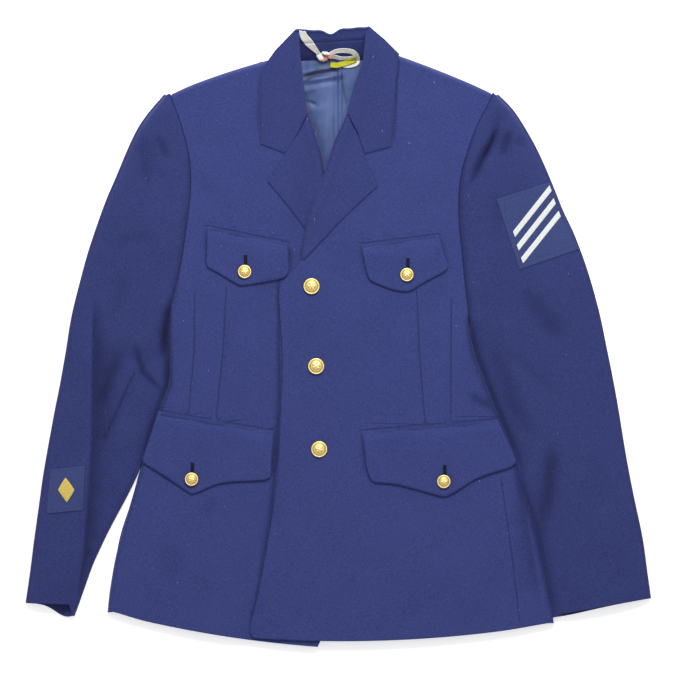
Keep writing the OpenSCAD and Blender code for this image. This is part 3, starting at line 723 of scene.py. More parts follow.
@dataclass(frozen=True)
class Stroke:
    """A soft line of painted shade on the cloth, standing in for the shade along a fold, a hollow or an edge.

    Attributes:
        line: Its points, in millimetres.
        width: How far it fades to each side, in millimetres.
        strength: How much its painted shade darkens the colour, from 0 to 1.
        toward: 0 for both sides, or 1 or -1 for the side towards larger or smaller X.
        taper: Share of its length over which it fades at each end.
    """

    line: tuple[Point, ...]
    width: float
    strength: float
    toward: int = 0
    taper: float = 0.35

    def weight(self, x: float, y: float) -> float:
        """How much painted shade lies at a point."""
        best, side, along_it, length = 1e9, 0.0, 0.0, 0.0
        for a, b in zip(self.line, self.line[1:]):
            t, across, size = beside(x, y, a, b)
            held = clamp01(t)
            near = math.hypot(across, (t - held) * size)
            if near < best:
                best, side, along_it = near, x - mix(a[0], b[0], held), length + held * size
            length += size
        if best > 3 * self.width:
            return 0.0
        end = min(along_it, length - along_it) / length
        waver = 1 + 0.25 * noise.noise(Vector((x, y, 3)) / 13)
        wide = self.width * mix(0.55, 1.0, clamp01(end / 0.3)) * waver
        fall = math.exp(-((best / wide) ** 2)) * (ease(end / self.taper) if self.taper else 1.0)
        if self.toward:
            fall *= ease(0.5 + side * self.toward / 2.4)
        return self.strength * fall


def mark_shade(piece: bpy.types.Object, strokes: Sequence[Stroke], everywhere: float = 0.0) -> None:
    """Stores on each vertex how much painted shade its strokes lay on the cloth's colour.

    Args:
        piece: A finished panel.
        strokes: The strokes on it.
        everywhere: Painted shade laid evenly over the whole panel.
    """
    mesh = piece.data
    shade = mesh.attributes.new("shade", "FLOAT", "POINT")
    for vert, value in zip(mesh.vertices, shade.data):
        left = 1.0 - everywhere
        for stroke in strokes:
            left *= 1.0 - stroke.weight(vert.co.x / MM, vert.co.y / MM)
        value.value = 1.0 - left


def straight(rows: Sequence[Sequence[float]], t: float) -> list[float]:
    """Piecewise straight version of along()."""
    last = len(rows) - 1
    place = clamp01(t) * last
    i = min(int(place), last - 1)
    return [mix(a, b, place - i) for a, b in zip(rows[i], rows[i + 1])]


# ---------------------------------------------------------------- surfaces of the fronts


@dataclass
class Surface:
    """The face of one side's front: the drape with its folds and unevenness."""

    base: Callable[[float, float], float]
    creases: tuple[Crease, ...] = ()
    uneven: float = 1.1

    def at(self, x: float, y: float) -> float:
        """Height of the outer face at a point, in millimetres."""
        folds = sum(crease.lift(x, y) for crease in self.creases)
        slow = ripple(x, y, 95, self.uneven) + ripple(x, y, 38, self.uneven * 0.35, 4.0)
        return self.base(x, y) + folds + slow


@dataclass(frozen=True)
class Step:
    """A fold's edge: cloth that lies lower on its right-hand side, seen from start to end."""

    start: Point
    end: Point
    drop: float
    run: float = 5.0
    fade: float = 0.12

    def lower(self, x: float, y: float) -> float:
        """How far the cloth lies below the fold at a point, in millimetres."""
        t, side, _ = beside(x, y, self.start, self.end)
        inside = ease((t + self.fade) / (2 * self.fade)) * ease((1 + self.fade - t) / (2 * self.fade))
        roll = 0.9 * math.exp(-(((side + 4) / 5) ** 2))
        return inside * (self.drop * ease(0.5 + side / self.run) - roll * self.drop / 5)


@dataclass
class Front:
    """One front of the jacket: cloth, lining, and the fold that turns to the back.

    Rows run from the leading edge to the side, each x, y, x, y and an optional bow.
    """

    side: Side
    rows: tuple[tuple[float, ...], ...]
    surface: Surface
    seams: tuple[tuple[Point, Point], ...]
    bend: tuple[Spot, Spot]
    armpit_y: float
    contour: tuple[Point, ...]
    strokes: tuple[Stroke, ...] = ()
    cells: tuple[int, int] = (120, 180)
    thick: float = 2.0
    length: float = 740

    def __post_init__(self) -> None:
        """Completes the rows and tabulates the front's leading edge by height."""
        self.rows = tuple((*row, *(0.0,) * (5 - len(row))) for row in self.rows)
        line = rounded(self.contour, 2)
        self.edge_table = sorted((y, x) for x, y in line)

    def edge_x(self, y: float) -> float:
        """X of the front's side at a height, along the armhole and the side fold."""
        return lookup(self.edge_table, y)

    @property
    def body(self) -> str:
        """Name of the body that this front moves with."""
        return f"{self.side.value}_front"

    def point(self, u: float, v: float) -> Vector:
        """Point of the outer face: u from the leading edge to the side fold, v down to the hem."""
        share, start = 0.955, 0.02
        flat = min(u / share, 1.0)
        row = along(self.rows, max(0.0, v - start) / (1 - start))
        y = mix(row[1], row[3], flat) - row[4] * 4 * flat * (1 - flat)
        shoulder = 6.0
        y -= shoulder * ease(1 - max(0.0, v - start) / 0.05)
        x = mix(row[0], self.edge_x(y) if v < 0.99 else row[2], flat)
        body = ease((self.armpit_y + 12 - y) / 24)
        width = mix(1.0, 8.0, body)
        span = abs(row[2] - row[0])
        x -= self.side.sign * width * ease((flat - 0.8) / 0.2)
        lead = max(0.0, 1 - flat * span / 4)
        hem = max(0.0, 1 - (1 - v) * self.length / 4)
        z = self.surface.at(x, y) - 1.0 * lead * lead - 1.3 * hem * hem
        if u > share:
            low = mix(z - 1.2, 2.9, body)
            turn = math.radians(90 * (u - share) / (1 - share))
            x += self.side.sign * width * math.sin(turn)
            z = low + (z - low) * math.cos(turn)
        if v < start:
            turn = math.radians(90 * (1 - v / start))
            y += shoulder * math.sin(turn)
            z = 3.2 + (z - 3.2) * math.cos(turn)
        return Vector((x, y, z))

    def place_lining(self, u: float, v: float) -> Vector:
        """Point of the lining, which lies under the cloth and inside its edges."""
        row = along(self.rows, mix(0.03, 0.965, v))
        y = mix(row[1], row[3], u)
        x = mix(row[0] + 8 * self.side.sign, self.edge_x(y) - 10 * self.side.sign, u)
        return Vector((x, y, self.surface.at(x, y) - 4.4))

    def place_allowance(self, u: float, v: float) -> Vector:
        """Point of the seam allowance that lies under the armhole's seam."""
        y = mix(self.rows[0][3] - 1.5, -150, v)
        edge = self.edge_x(y)
        height = mix(self.surface.at(edge, y) - 3.6, 2.6, ease((self.armpit_y + 12 - y) / 24))
        return Vector((edge + (u - 0.5) * 6, y, height))

    def bent(self, piece: bpy.types.Object) -> bpy.types.Object:
        """Bakes a piece's placement into its mesh."""
        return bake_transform(piece)

    def build(self) -> None:
        """Makes the cloth and the lining."""
        name = self.side.value
        panel = cloth(f"front_cloth_{name}", self.point, self.cells, self.thick, 0.35)
        mark_seams(panel, self.seams)
        # Painted shade and shadow along the front's folds, flap and lapel edges and its leading edge.
        mark_shade(panel, self.strokes)
        Finish.WOOL.paint(panel)
        shown = [f"front_{name}", f"front_shoulder_{name}", f"side_body_{name}"]
        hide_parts(*shown, *(["front_buttonholes"] if self.side is Side.LEFT else []))
        self.bent(panel)
        inner = cloth(f"front_satin_{name}", self.place_lining, (40, 70), 0.7, 0.2, rim=0.0)
        Finish.SATIN.paint(inner)
        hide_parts(f"front_lining_{name}")
        self.bent(inner)
        turned = cloth(f"armhole_allowance_{name}", self.place_allowance, (4, 140), 0.9, 0.0, rim=0.0)
        Finish.WOOL_SHADE.paint(turned)
        self.bent(turned)


# ---------------------------------------------------------------- back and collar


@dataclass
class Back:
    """The back of the jacket, its lining that shows inside the neck, and the shoulder pads."""

    outline: tuple[tuple[float, ...], ...]
    front: dict[Side, Surface]
    thick: float = 2.0
    satin_creases: tuple[Crease, ...] = (
        Crease((-46, 337), (2, 345), 2.2, -2.8), Crease((-46, 342), (-6, 349), 2.0, 1.8),
        Crease((-44, 331), (4, 339), 2.6, 2.4), Crease((-42, 326), (6, 334), 3.4, -1.8),
        Crease((-40, 305), (-28, 300), 2.2, -2.2), Crease((-41, 318), (-30, 322), 2.6, 1.6),
        Crease((-36, 288), (-24, 240), 4, -2.2), Crease((-14, 320), (-16, 240), 9, 1.8),
    )
    satin_strokes: tuple[Stroke, ...] = (
        Stroke(((-50, 333), (-43.7, 337.8), (-28.1, 345), (5, 347.4)), 2.8, 0.9, 0, 0.2),
        Stroke(((-50, 325), (-44.9, 330.6), (-32.9, 339), (-6, 343)), 2.4, 0.8, 0, 0.3),
        Stroke(((-44, 324), (-40, 316), (-28, 256), (-20, 235)), 10, 0.62, -1, 0.1),
        Stroke(((-40, 306), (-27, 302)), 1.5, 0.45), Stroke(((-37, 323), (-29, 318)), 1.4, 0.4),
        Stroke(((-37.7, 284), (-28, 270.8)), 1.8, 0.4), Stroke(((-36, 296), (-30, 288)), 1.4, 0.35),
        Stroke(((3, 347.4), (6.6, 321), (11.4, 300.7), (13, 290)), 1.4, 0.6, 0, 0.1),
        Stroke(((-3, 343), (2, 328)), 6, 0.3), Stroke(((-44, 351), (6, 353)), 5, 0.22),
    )

    def ground(self, u: float, v: float) -> Vector:
        """Point of the cloth that lies on the floor."""
        row = along(self.outline, v)
        x, y = mix(row[0], row[2], u), mix(row[1], row[3], u) - row[4] * 4 * u * (1 - u)
        return Vector((x, y, self.thick))

    def satin(self, u: float, v: float) -> Vector:
        """Point of the lining, with its pleat down the middle and its creases inside the neck."""
        row = along(self.outline, mix(0.0, 0.985, v**1.7))
        x, y = mix(row[0] + 12, row[2] - 12, u), mix(row[1], row[3], u) - row[4] * 4 * u * (1 - u)
        seen = ease((y - 150) / 80)
        pleat = 2.6 * math.exp(-(((x - 2) / 2.2) ** 2)) - 1.6 * math.exp(-(((x + 3) / 2.6) ** 2))
        side = -1.8 * math.exp(-(((x + 44 + (y - 340) * 0.12) / 9) ** 2))
        rise = ease((y - 300) / 55) * 4.0
        folds = sum(crease.lift(x, y) for crease in self.satin_creases)
        folds += ripple(x * 1.4, y * 0.45, 24, 1.5, 2.0) + ripple(x, y, 12, 0.5, 7.0)
        return Vector((x, y, self.thick + 1.4 + seen * (pleat + side + rise + 2.6 + folds)))

    def build(self) -> None:
        """Makes the back, its lining and the pads."""
        outer = cloth("back_cloth", self.ground, (60, 90), self.thick, 0.3)
        mark_seams(outer, (((-10, 352), (-12, -395)),))
        Finish.WOOL.paint(outer)
        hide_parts("back_right", "back_left")
        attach(outer, "torso")
        inner = cloth("back_satin", self.satin, (190, 170), 0.7, 0.0, rim=0.0)
        # Painted shade along the lining's folds, and a little over the whole lining.
        mark_shade(inner, self.satin_strokes, 0.06)
        Finish.SATIN.paint(inner)
        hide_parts("back_lining")
        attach(inner, "torso")
        for side, corners in (
            (Side.RIGHT, ((-205, 308), (-140, 322), (-164, 240), (-188, 236))),
            (Side.LEFT, ((118, 322), (188, 300), (158, 232), (140, 236))),
        ):
            self.pad(side, corners)

    def pad(self, side: Side, corners: Sequence[Point]) -> None:
        """Makes one shoulder pad: a stuffed lens under the shoulder's cloth."""
        (ax, ay), (bx, by), (cx, cy), (dx, dy) = corners
        surface = self.front[side]
        bm = bmesh.new()
        bmesh.ops.create_grid(bm, x_segments=16, y_segments=16, size=0.5)
        copies = bmesh.ops.duplicate(bm, geom=bm.faces[:])["geom"]
        lower = {v for v in copies if isinstance(v, bmesh.types.BMVert)}
        for vert in bm.verts:
            u, v = vert.co.x + 0.5, 0.5 - vert.co.y
            x = mix(mix(ax, bx, u), mix(dx, cx, u), v)
            y = mix(mix(ay, by, u), mix(dy, cy, u), v)
            fat = (4 * u * (1 - u) * 4 * v * (1 - v)) ** 0.4
            middle = surface.at(x, y) - 8.5
            vert.co = Vector((x, y, middle + (-5 if vert in lower else 5) * fat)) * MM
        bmesh.ops.reverse_faces(bm, faces=[f for f in bm.faces if all(v in lower for v in f.verts)])
        bmesh.ops.remove_doubles(bm, verts=bm.verts[:], dist=0.00005)
        bmesh.ops.recalc_face_normals(bm, faces=bm.faces[:])
        piece = from_bmesh(bm, f"shoulder_pad_{side.value}")
        Finish.PADDING.paint(piece)
        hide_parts("shoulder_pads")
        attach(piece, "torso")


@dataclass
class Collar:
    """Stand, fall, two leaves and two lapels."""

    drape: Drape
    fronts: dict[Side, Front]
    top_z: float = 46.0
    seam_y: float = 357.0
    fold_y: float = 400.0
    thick: float = 2.0
    ends: Point = (-56.0, 39.0)
    stand_share: float = 0.46
    roll_share: float = 0.58
    folds: dict[Side, tuple[Point, ...]] = field(default_factory=lambda: {
        Side.RIGHT: ((236, -62), (288, -38), (327, -45), (359, -49), (399, -51)),
        Side.LEFT: ((236, 29), (263, 21), (289, 9), (329, 20), (357, 31), (403, 35)),
    })
    edges: dict[Side, tuple[Point, ...]] = field(default_factory=lambda: {
        Side.RIGHT: ((238, -102), (281, -101), (345, -99), (370, -80), (399, -57)),
        Side.LEFT: ((246, 69), (311, 72), (367, 79), (385, 60), (403, 40)),
    })

    def leaf_z(self, side: Side, x: float, y: float) -> float:
        """Height of a collar leaf's upper face."""
        surface = self.fronts[side].surface
        inner, outer = lookup(self.folds[side], y), lookup(self.edges[side], y)
        out = clamp01((x - inner) / (outer - inner))
        top = mix(self.drape.top(inner, 288) + 8, self.top_z, clamp01((y - 288) / (self.fold_y - 288)))
        low = surface.at(x, y) + 2.5
        gorge = ease((y - 236) / 60)
        crest = mix(top, surface.at(outer, y) + 2.5, out**0.8) - (1 - gorge) * 6
        roll = 2.2 * max(0.0, 1 - abs(x - inner) / 5) ** 2
        return max(low, crest) - roll

    def band(self, u: float, v: float) -> Vector:
        """Point of the back of the collar: up its stand, over the fold and down its fall."""
        x = mix(*self.ends, u)
        notch = -5.0 * math.exp(-(((x + 9) / 9) ** 2)) - 3.2 * math.exp(-(((x + 18) / 22) ** 2))
        top_y = mix(399.5, 402.0, u) + notch * 0.9 + 0.7 * math.sin(u * 23) * math.sin(math.pi * u)
        dip = 0.5 * math.sin(u * 9.0) + ripple(x, 0, 30, 1.0, 3.0)
        crest = self.top_z - 2.2 + dip
        if v < self.stand_share:
            t = v / self.stand_share
            y = mix(self.seam_y + 1, top_y - 3.0, t)
            seam_y = mix(379.5, 385.5, u)
            groove = -1.3 * math.exp(-(((y - seam_y) / 1.1) ** 2))
            groove += 0.9 * math.exp(-(((y - seam_y - 4) / 4) ** 2))
            return Vector((x, y, mix(8.2, crest, t**0.8) + groove * ease(12 * u) * ease(12 * (1 - u))))
        if v < self.roll_share:
            a = math.pi * (v - self.stand_share) / (self.roll_share - self.stand_share)
            return Vector((x, top_y - 3.0 * math.cos(a) * 0.5 - 1.5, crest + 1.9 * math.sin(a)))
        t = (v - self.roll_share) / (1 - self.roll_share)
        y = mix(top_y, top_y - 33, t) + 1.5 * math.sin(math.pi * t)
        x += mix(-22, 20, u) * ease(t)
        return Vector((x, y, mix(crest, 4.2, t**1.1) - 3.2 * math.sin(math.pi * t)))

    def over(self, x: float, y: float, lift: float) -> Vector:
        """Point over the inside of the neck, in millimetres."""
        left, right = self.ends
        u, low, high = clamp01((x - left) / (right - left)), 0.0, self.stand_share
        for _ in range(20):
            v = (low + high) / 2
            if self.band(u, v).y < y:
                low = v
            else:
                high = v
        return Vector((x, y, self.band(u, low).z + lift))

    def leaf(self, side: Side, rows: Sequence[Row], names: tuple[str, ...]) -> None:
        """Makes a collar leaf from rows that run from its outer edge to its fold, or back."""

        def place(u: float, v: float) -> Vector:
            """Point of the leaf, between its outer edge and its fold."""
            row = straight(rows, v)
            x, y = mix(row[0], row[2], u), mix(row[1], row[3], u)
            edge = rolled(u, v, math.dist(row[:2], row[2:4]), 160, 0.9, 3.5)
            return Vector((x, y, self.leaf_z(side, x, y) - edge))

        piece = cloth(names[0], place, (48, 14 * (len(rows) - 1)), self.thick, 0.0)
        # Painted shade evenly over the whole leaf.
        mark_shade(piece, (), 0.16)
        Finish.WOOL.paint(piece)
        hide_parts(*names[1:])
        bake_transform(piece)

    def lapel(self, side: Side, rows: Sequence[Row], roll_at_end: bool) -> None:
        """Makes a lapel; its roll line is at the end of each row or at its start."""
        front = self.fronts[side]

        def place(u: float, v: float) -> Vector:
            """Point of the lapel, which swells beside its roll line."""
            row = straight(rows, v)
            x, y = mix(row[0], row[2], u), mix(row[1], row[3], u)
            width = math.dist(row[:2], row[2:4])
            from_roll = ((1 - u) if roll_at_end else u) * width
            swell = 2.6 * math.exp(-(((from_roll - 7) / 8) ** 2)) * ease((y - 110) / 60)
            roll = 3.4 * clamp01(1 - from_roll / 5) ** 2
            edge = rolled(u, v, width, 190, 0.9, 3.5)
            return Vector((x, y, front.surface.at(x, y) + 2.6 + swell - roll - edge))

        piece = cloth(f"lapel_cloth_{side.value}", place, (44, 12 * (len(rows) - 1)), self.thick, 0.0)
        # Painted shade evenly over the whole lapel.
        mark_shade(piece, (), 0.12)
        Finish.WOOL.paint(piece)
        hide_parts(f"lapel_{side.value}")
        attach(piece, front.body)

    def build(self) -> None:
        """Makes every piece of the collar."""
        band = cloth("collar_back", self.band, (90, 90), 1.7, 0.0, upward=False)
        Finish.WOOL.paint(band)
        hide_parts("collar_stand", "collar_fall")
        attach(band, "torso")
        self.leaf(
            Side.RIGHT,
            ((-57, 398, -51.5, 399), (-82.5, 371.5, -50.5, 380), (-99, 348, -47.5, 345), (-101, 310, -43, 312),
             (-101, 281, -41, 289), (-102, 262, -53, 264), (-102, 250, -68, 237)),
            ("collar_leaf_cloth_right", "collar_leaf_right"),
        )
        self.leaf(
            Side.LEFT,
            ((35.5, 402, 40, 403), (34.5, 384, 60, 386), (31.5, 357, 79, 367), (21, 328, 74, 330),
             (11, 291, 72, 300), (25, 265, 70, 268), (34, 237, 68, 246)),
            ("collar_leaf_cloth_left", "collar_leaf_left"),
        )
        self.lapel(
            Side.RIGHT,
            ((-40, 286, -38.5, 287), (-54, 261, -29, 258), (-70, 236, -22, 236), (-81, 218, -19, 220),
             (-92, 201, -17, 204), (-67, 171, -14, 172), (-45, 142, -12, 142), (-30, 108, -10, 108)),
            True,
        )
        self.lapel(
            Side.LEFT,
            ((11, 289, 12, 288), (-2, 260, 24, 262), (-10, 238, 34, 234), (-17, 217, 42, 215),
             (-22, 200, 51, 195), (-33, 174, 28, 174), (-42, 148, 2, 149), (-50, 100, -44, 100)),
            False,
        )


# ---------------------------------------------------------------- pockets


@dataclass
class Pocket:
    """A patch flap with its welt and bag.

    The seam runs from its first point to its second, and the edge is the flap's free outline
    below it, from the same end. Both are in millimetres.
    """

    name: str
    side: Side
    surface: Surface
    bend: tuple[Spot, Spot]
    seam: tuple[Point, Point]
    edge: tuple[Point, ...]
    button: Point
    depth: float
    margins: Point
    lift: float = 4.0
    thick: float = 2.0

    def __post_init__(self) -> None:
        """Rounds the flap's corners."""
        self.outline = rounded(self.edge, 3)

    def place(self, u: float, v: float) -> Vector:
        """Point of the flap's face, which rolls over at its seam and lifts a little at its free edge."""
        (ax, ay), (bx, by) = self.seam
        top = (mix(ax, bx, u), mix(ay, by, u))
        low = walk(self.outline, u)
        x, y = mix(top[0], low[0], v), mix(top[1], low[1], v)
        drop = math.dist(top, low)
        width = abs(bx - ax)
        edge = rolled(u, 0.5 + v / 2, width, drop * 2, 0.9, 2.6)
        seam = 2.7 * ease(1 - v * drop / 16) + 0.8 * math.exp(-((v * drop / 1.4) ** 2))
        swell = 0.8 * math.sin(math.pi * v) + 0.9 * ease((v - 0.7) / 0.3)
        swell += ripple(x, y, 30, 0.7, 8.0)
        dip = 1.3 * math.exp(-((math.hypot(x - self.button[0], y - self.button[1]) / 12) ** 2))
        return Vector((x, y, self.surface.at(x, y) + self.lift - 0.6 + swell - edge - seam - dip))

    def stitches(self) -> bpy.types.Object:
        """The vertical buttonhole above the button, worked in thread, with a bar at its top."""
        x, y = self.button
        bm = bmesh.new()
        rows = 30
        for k in range(rows):
            t = k / (rows - 1)
            yk = y + 6.0 + 14.5 * t
            for lip in (-1, 1):
                xk = x + 1.2 + lip * 1.15
                z = self.place_z(xk, yk) + 0.25
                size = Matrix.Diagonal((1.35, 0.36, 0.55, 1))
                turn = Matrix.Rotation(lip * 0.35 * math.sin(k * 2.3), 4, "Z")
                bmesh.ops.create_icosphere(
                    bm, subdivisions=2, radius=1.0,
                    matrix=Matrix.Scale(MM, 4) @ Matrix.Translation((xk, yk, z)) @ turn @ size,
                )
        top = y + 20.9
        middle = Matrix.Translation((x + 1.2, top, self.place_z(x, top) + 0.35))
        bar = middle @ Matrix.Diagonal((2.7, 0.75, 0.7, 1))
        bmesh.ops.create_icosphere(bm, subdivisions=3, radius=1.0, matrix=Matrix.Scale(MM, 4) @ bar)
        return from_bmesh(bm, f"{self.name}_buttonhole_thread")

    def place_z(self, x: float, y: float) -> float:
        """Height of the flap's face at a point well inside it."""
        (ax, ay), (bx, by) = self.seam
        u = clamp01((x - ax) / (bx - ax))
        v = 0.7
        for _ in range(6):
            found = self.place(u, v)
            drop = math.dist((mix(ax, bx, u), mix(ay, by, u)), walk(self.outline, u))
            v = clamp01(v + (found.y - y) / drop)
            u = clamp01(u + (x - found.x) / (bx - ax))
        return self.place(u, v).z

    def welt(self) -> bpy.types.Object:
        """The narrow strip just under the flap's seam."""
        a, b = self.seam

        def place(u: float, v: float) -> Vector:
            """Point of the welt, along and down."""
            x = mix(a[0] + 3, b[0] - 3, u)
            y = mix(a[1], b[1], u) - 3.5 - 5 * v
            return Vector((x, y, self.surface.at(x, y) + 1.5))

        return cloth(f"{self.name}_welt", place, (60, 3), 0.9, 0.0, rim=0.0)

    def bag(self) -> bpy.types.Object:
        """The pouch that hangs inside the front."""
        a, b = self.seam

        def place(u: float, v: float) -> Vector:
            """Point of the pouch, along and down."""
            x = mix(a[0] + self.margins[0], b[0] - self.margins[1], u)
            y = mix(a[1], b[1], u) - mix(5, self.depth, v)
            return Vector((x, y, self.surface.at(x, y) - 2.6))

        return cloth(f"{self.name}_bag", place, (30, 30), 1.1, 0.0, rim=0.0)

    def build(self) -> None:
        """Makes the flap, its buttonhole, the welt and the bag."""
        kind = self.name.split("_")[0]
        body = f"{self.name}_body"
        flap = cloth(f"{self.name}_cloth", self.place, (120, 50), self.thick, 0.25)
        # Painted shade along the flap's seam.
        mark_shade(flap, (Stroke(self.seam, 2.2, 0.35, 0, 0.05),))
        Finish.WOOL.paint(flap)
        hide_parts(self.name, f"{kind}_buttonhole_{self.side.value}")
        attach(flap, body)
        thread = self.stitches()
        Finish.BLACK_THREAD.paint(thread)
        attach(thread, body)
        welt, bag = self.welt(), self.bag()
        Finish.WOOL_SHADE.paint(welt)
        Finish.POCKETING.paint(bag)
        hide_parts(f"pocket_welts_{self.side.value}")
        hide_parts(f"pocket_bags_{self.side.value}")
        for piece in (welt, bag):
            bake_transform(piece)


# ---------------------------------------------------------------- sleeves


@dataclass
class Sleeve:
    """One sleeve: a flattened tube of cloth with a lining tube inside it.

    Stations run from the shoulder to the cuff: inner x, y, outer x, y, and a share that is 1
    where the sleeve joins the armhole and 0 below the armpit.
    """

    side: Side
    stations: tuple[tuple[float, ...], ...]
    front: Front
    creases: tuple[Crease, ...]
    steps: tuple[Step, ...]
    strokes: tuple[Stroke, ...]
    bend: tuple[Spot, Spot]
    full: float = 26.0
    cuff: float = 18.0
    thick: float = 2.0
    slip: float = 3.0

    @property
    def body(self) -> str:
        """Name of the body that this sleeve moves with."""
        return f"{self.side.value}_sleeve"

    def station(self, v: float) -> tuple[float, float, float, float, float]:
        """The sleeve's inner and outer points at v, and how far it is joined to the armhole."""
        x1, y1, x2, y2, joined = along(self.stations, v)
        limit = self.front.edge_x(y1) + self.side.sign * mix(0.5, 0.25, clamp01(joined))
        if self.side is Side.LEFT or y1 > -160:
            x1 = limit
        return x1, y1, x2, y2, clamp01(joined)

    def crown(self, v: float, u: float) -> Vector:
        """Point of the sleeve's upper face: v down to the cuff, u from its inner edge to its outer one."""
        x1, y1, x2, y2, join = self.station(v)
        inner = self.front.surface.at(x1, y1)
        low = 4.5
        tall = mix(self.full, self.cuff, v)
        blend_in = join * (1 - u) ** 2
        begun = ease(v / 0.06)
        height = mix(inner - 2, inner * blend_in + tall * (1 - blend_in), begun)
        outer_round = max(0.0, 1 - u**4) ** 0.5
        inner_round = mix(max(0.0, 1 - (1 - u) ** 6) ** 0.5, 1.0, join)
        x, y = mix(x1, x2, u), mix(y1, y2, u)
        width = math.dist((x1, y1), (x2, y2))
        seam = 1.3 * join * clamp01(1 - u * width / 2.2) ** 2
        swell = 1.3 * begun * join * math.exp(-(((u * width - 8) / 7) ** 2))
        soft = min(1.0, 6 * u, 6 * (1 - u)) if join < 0.5 else min(1.0, 6 * (1 - u))
        folds = sum(crease.lift(x, y) for crease in self.creases)
        folds += ripple(x, y, 80, 1.5, 9.0) + ripple(x, y, 34, 0.5, 5.0)
        folds -= sum(step.lower(x, y) for step in self.steps)
        z = low + (height - low) * outer_round * inner_round + swell - seam + folds * soft
        return Vector((x, y, max(z, low)))

    def over(self, x: float, y: float, lift: float = 0.0) -> Vector:
        """Point on the sleeve's upper face over a point of the floor, in millimetres."""
        low, high = 0.0, 1.0
        for _ in range(22):
            v = (low + high) / 2
            x1, y1, x2, y2, _ = self.station(v)
            past = (x - x1) * (y2 - y1) - (y - y1) * (x2 - x1)
            if past * self.side.sign > 0:
                low = v
            else:
                high = v
        x1, y1, x2, y2, _ = self.station(v)
        u = ((x - x1) * (x2 - x1) + (y - y1) * (y2 - y1)) / math.dist((x1, y1), (x2, y2)) ** 2
        return Vector((x, y, self.crown(v, min(max(u, 0.0), 0.975)).z + lift))

    def tube(
        self, name: str, inset: float, thick: float, last: float, cells: tuple[int, int]
    ) -> bpy.types.Object:
        """Makes a closed flattened tube, open at the cuff and at the armhole.

        Args:
            name: Name of the piece.
            inset: Distance from the outer cloth's face, in millimetres.
            thick: Thickness of the cloth, in millimetres.
            last: How far down the sleeve the tube goes, from 0 to 1.
            cells: Faces around and along.

        Returns:
            The finished tube.
        """
        upper = 0.58

        def place(a: float, v: float) -> Vector:
            """Point of the tube, around and along."""
            down = v * last
            if a <= upper:
                u = (1 - math.cos(math.pi * a / upper)) / 2
            else:
                u = (1 + math.cos(math.pi * (a - upper) / (1 - upper))) / 2
            x1, y1, x2, y2, _ = self.station(down)
            width = math.dist((x1, y1), (x2, y2))
            share = min(inset / width, 0.3)
            moved = mix(share, 1 - share, u)
            top = self.crown(down, moved)
            bottom = inset + 0.02
            past = self.slip * ease((down - 0.93) / 0.07)
            if a <= upper:
                past *= 0.89 * clamp01(1 - u / 0.08)
            else:
                past *= math.exp(-(((u - 0.12) / 0.36) ** 2))
            if a <= upper:
                z = max(top.z - inset, bottom)
            else:
                round_off = (1 - (2 * u - 1) ** 8)
                z = mix(max(top.z - inset, bottom), bottom, round_off)
            return Vector((mix(x1, x2, moved), mix(y1, y2, moved) - past, z))

        bm = bmesh.new()
        bmesh.ops.create_grid(bm, x_segments=cells[0], y_segments=cells[1], size=0.5)
        for vert in bm.verts:
            vert.co = place(vert.co.x + 0.5, 0.5 - vert.co.y) * MM
        bmesh.ops.remove_doubles(bm, verts=bm.verts[:], dist=0.00002)
        bmesh.ops.recalc_face_normals(bm, faces=bm.faces[:])
        bm.normal_update()
        highest = max(bm.faces, key=lambda f: f.calc_center_median().z)
        if highest.normal.z < 0:
            bmesh.ops.reverse_faces(bm, faces=bm.faces[:])
        return thickened(from_bmesh(bm, name), thick, 0.4)

    def patch(self, name: str, corners: Sequence[Point], lift: float, thick: float, cells: tuple[int, int],
              hump: Callable[[float, float], float]) -> bpy.types.Object:
        """Makes a flat four-cornered piece on the sleeve.

        Args:
            name: Name of the piece.
            corners: Its corners in turn, in millimetres.
            lift: Height of its lower face over the sleeve, in millimetres.
            thick: Thickness, in millimetres.
            cells: Faces across and down.
            hump: Height that is added at a point of the piece, from 0 to 1 each way.

        Returns:
            The finished piece.
        """
        (ax, ay), (bx, by), (cx, cy), (dx, dy) = corners

        def place(u: float, v: float) -> Vector:
            """Point of the patch, which lies on the sleeve."""
            x, y = mix(mix(ax, bx, u), mix(dx, cx, u), v), mix(mix(ay, by, u), mix(dy, cy, u), v)
            return self.over(x, y, lift + thick + hump(u, v))

        return cloth(name, place, cells, thick, 0.2, rim=0.15)

    def bent(self, piece: bpy.types.Object) -> bpy.types.Object:
        """Bakes a piece's placement into its mesh."""
        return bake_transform(piece)

    def build(self) -> None:
        """Makes the sleeve's cloth and lining."""
        name = self.side.value
        outer = self.tube(f"sleeve_cloth_{name}", 0.0, self.thick, 1.0, (120, 200))
        # Painted shade along the sleeve's folds and edges, and evenly over the whole sleeve.
        mark_shade(outer, self.strokes, 0.19)
        Finish.WOOL.paint(outer)
        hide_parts(f"top_sleeve_{name}", f"under_sleeve_{name}")
        self.bent(outer)
        inner = self.tube(f"sleeve_satin_{name}", 3.0, 0.4, 0.975, (60, 90))
        Finish.SATIN.paint(inner)
        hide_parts(f"sleeve_lining_{name}")
        self.bent(inner)


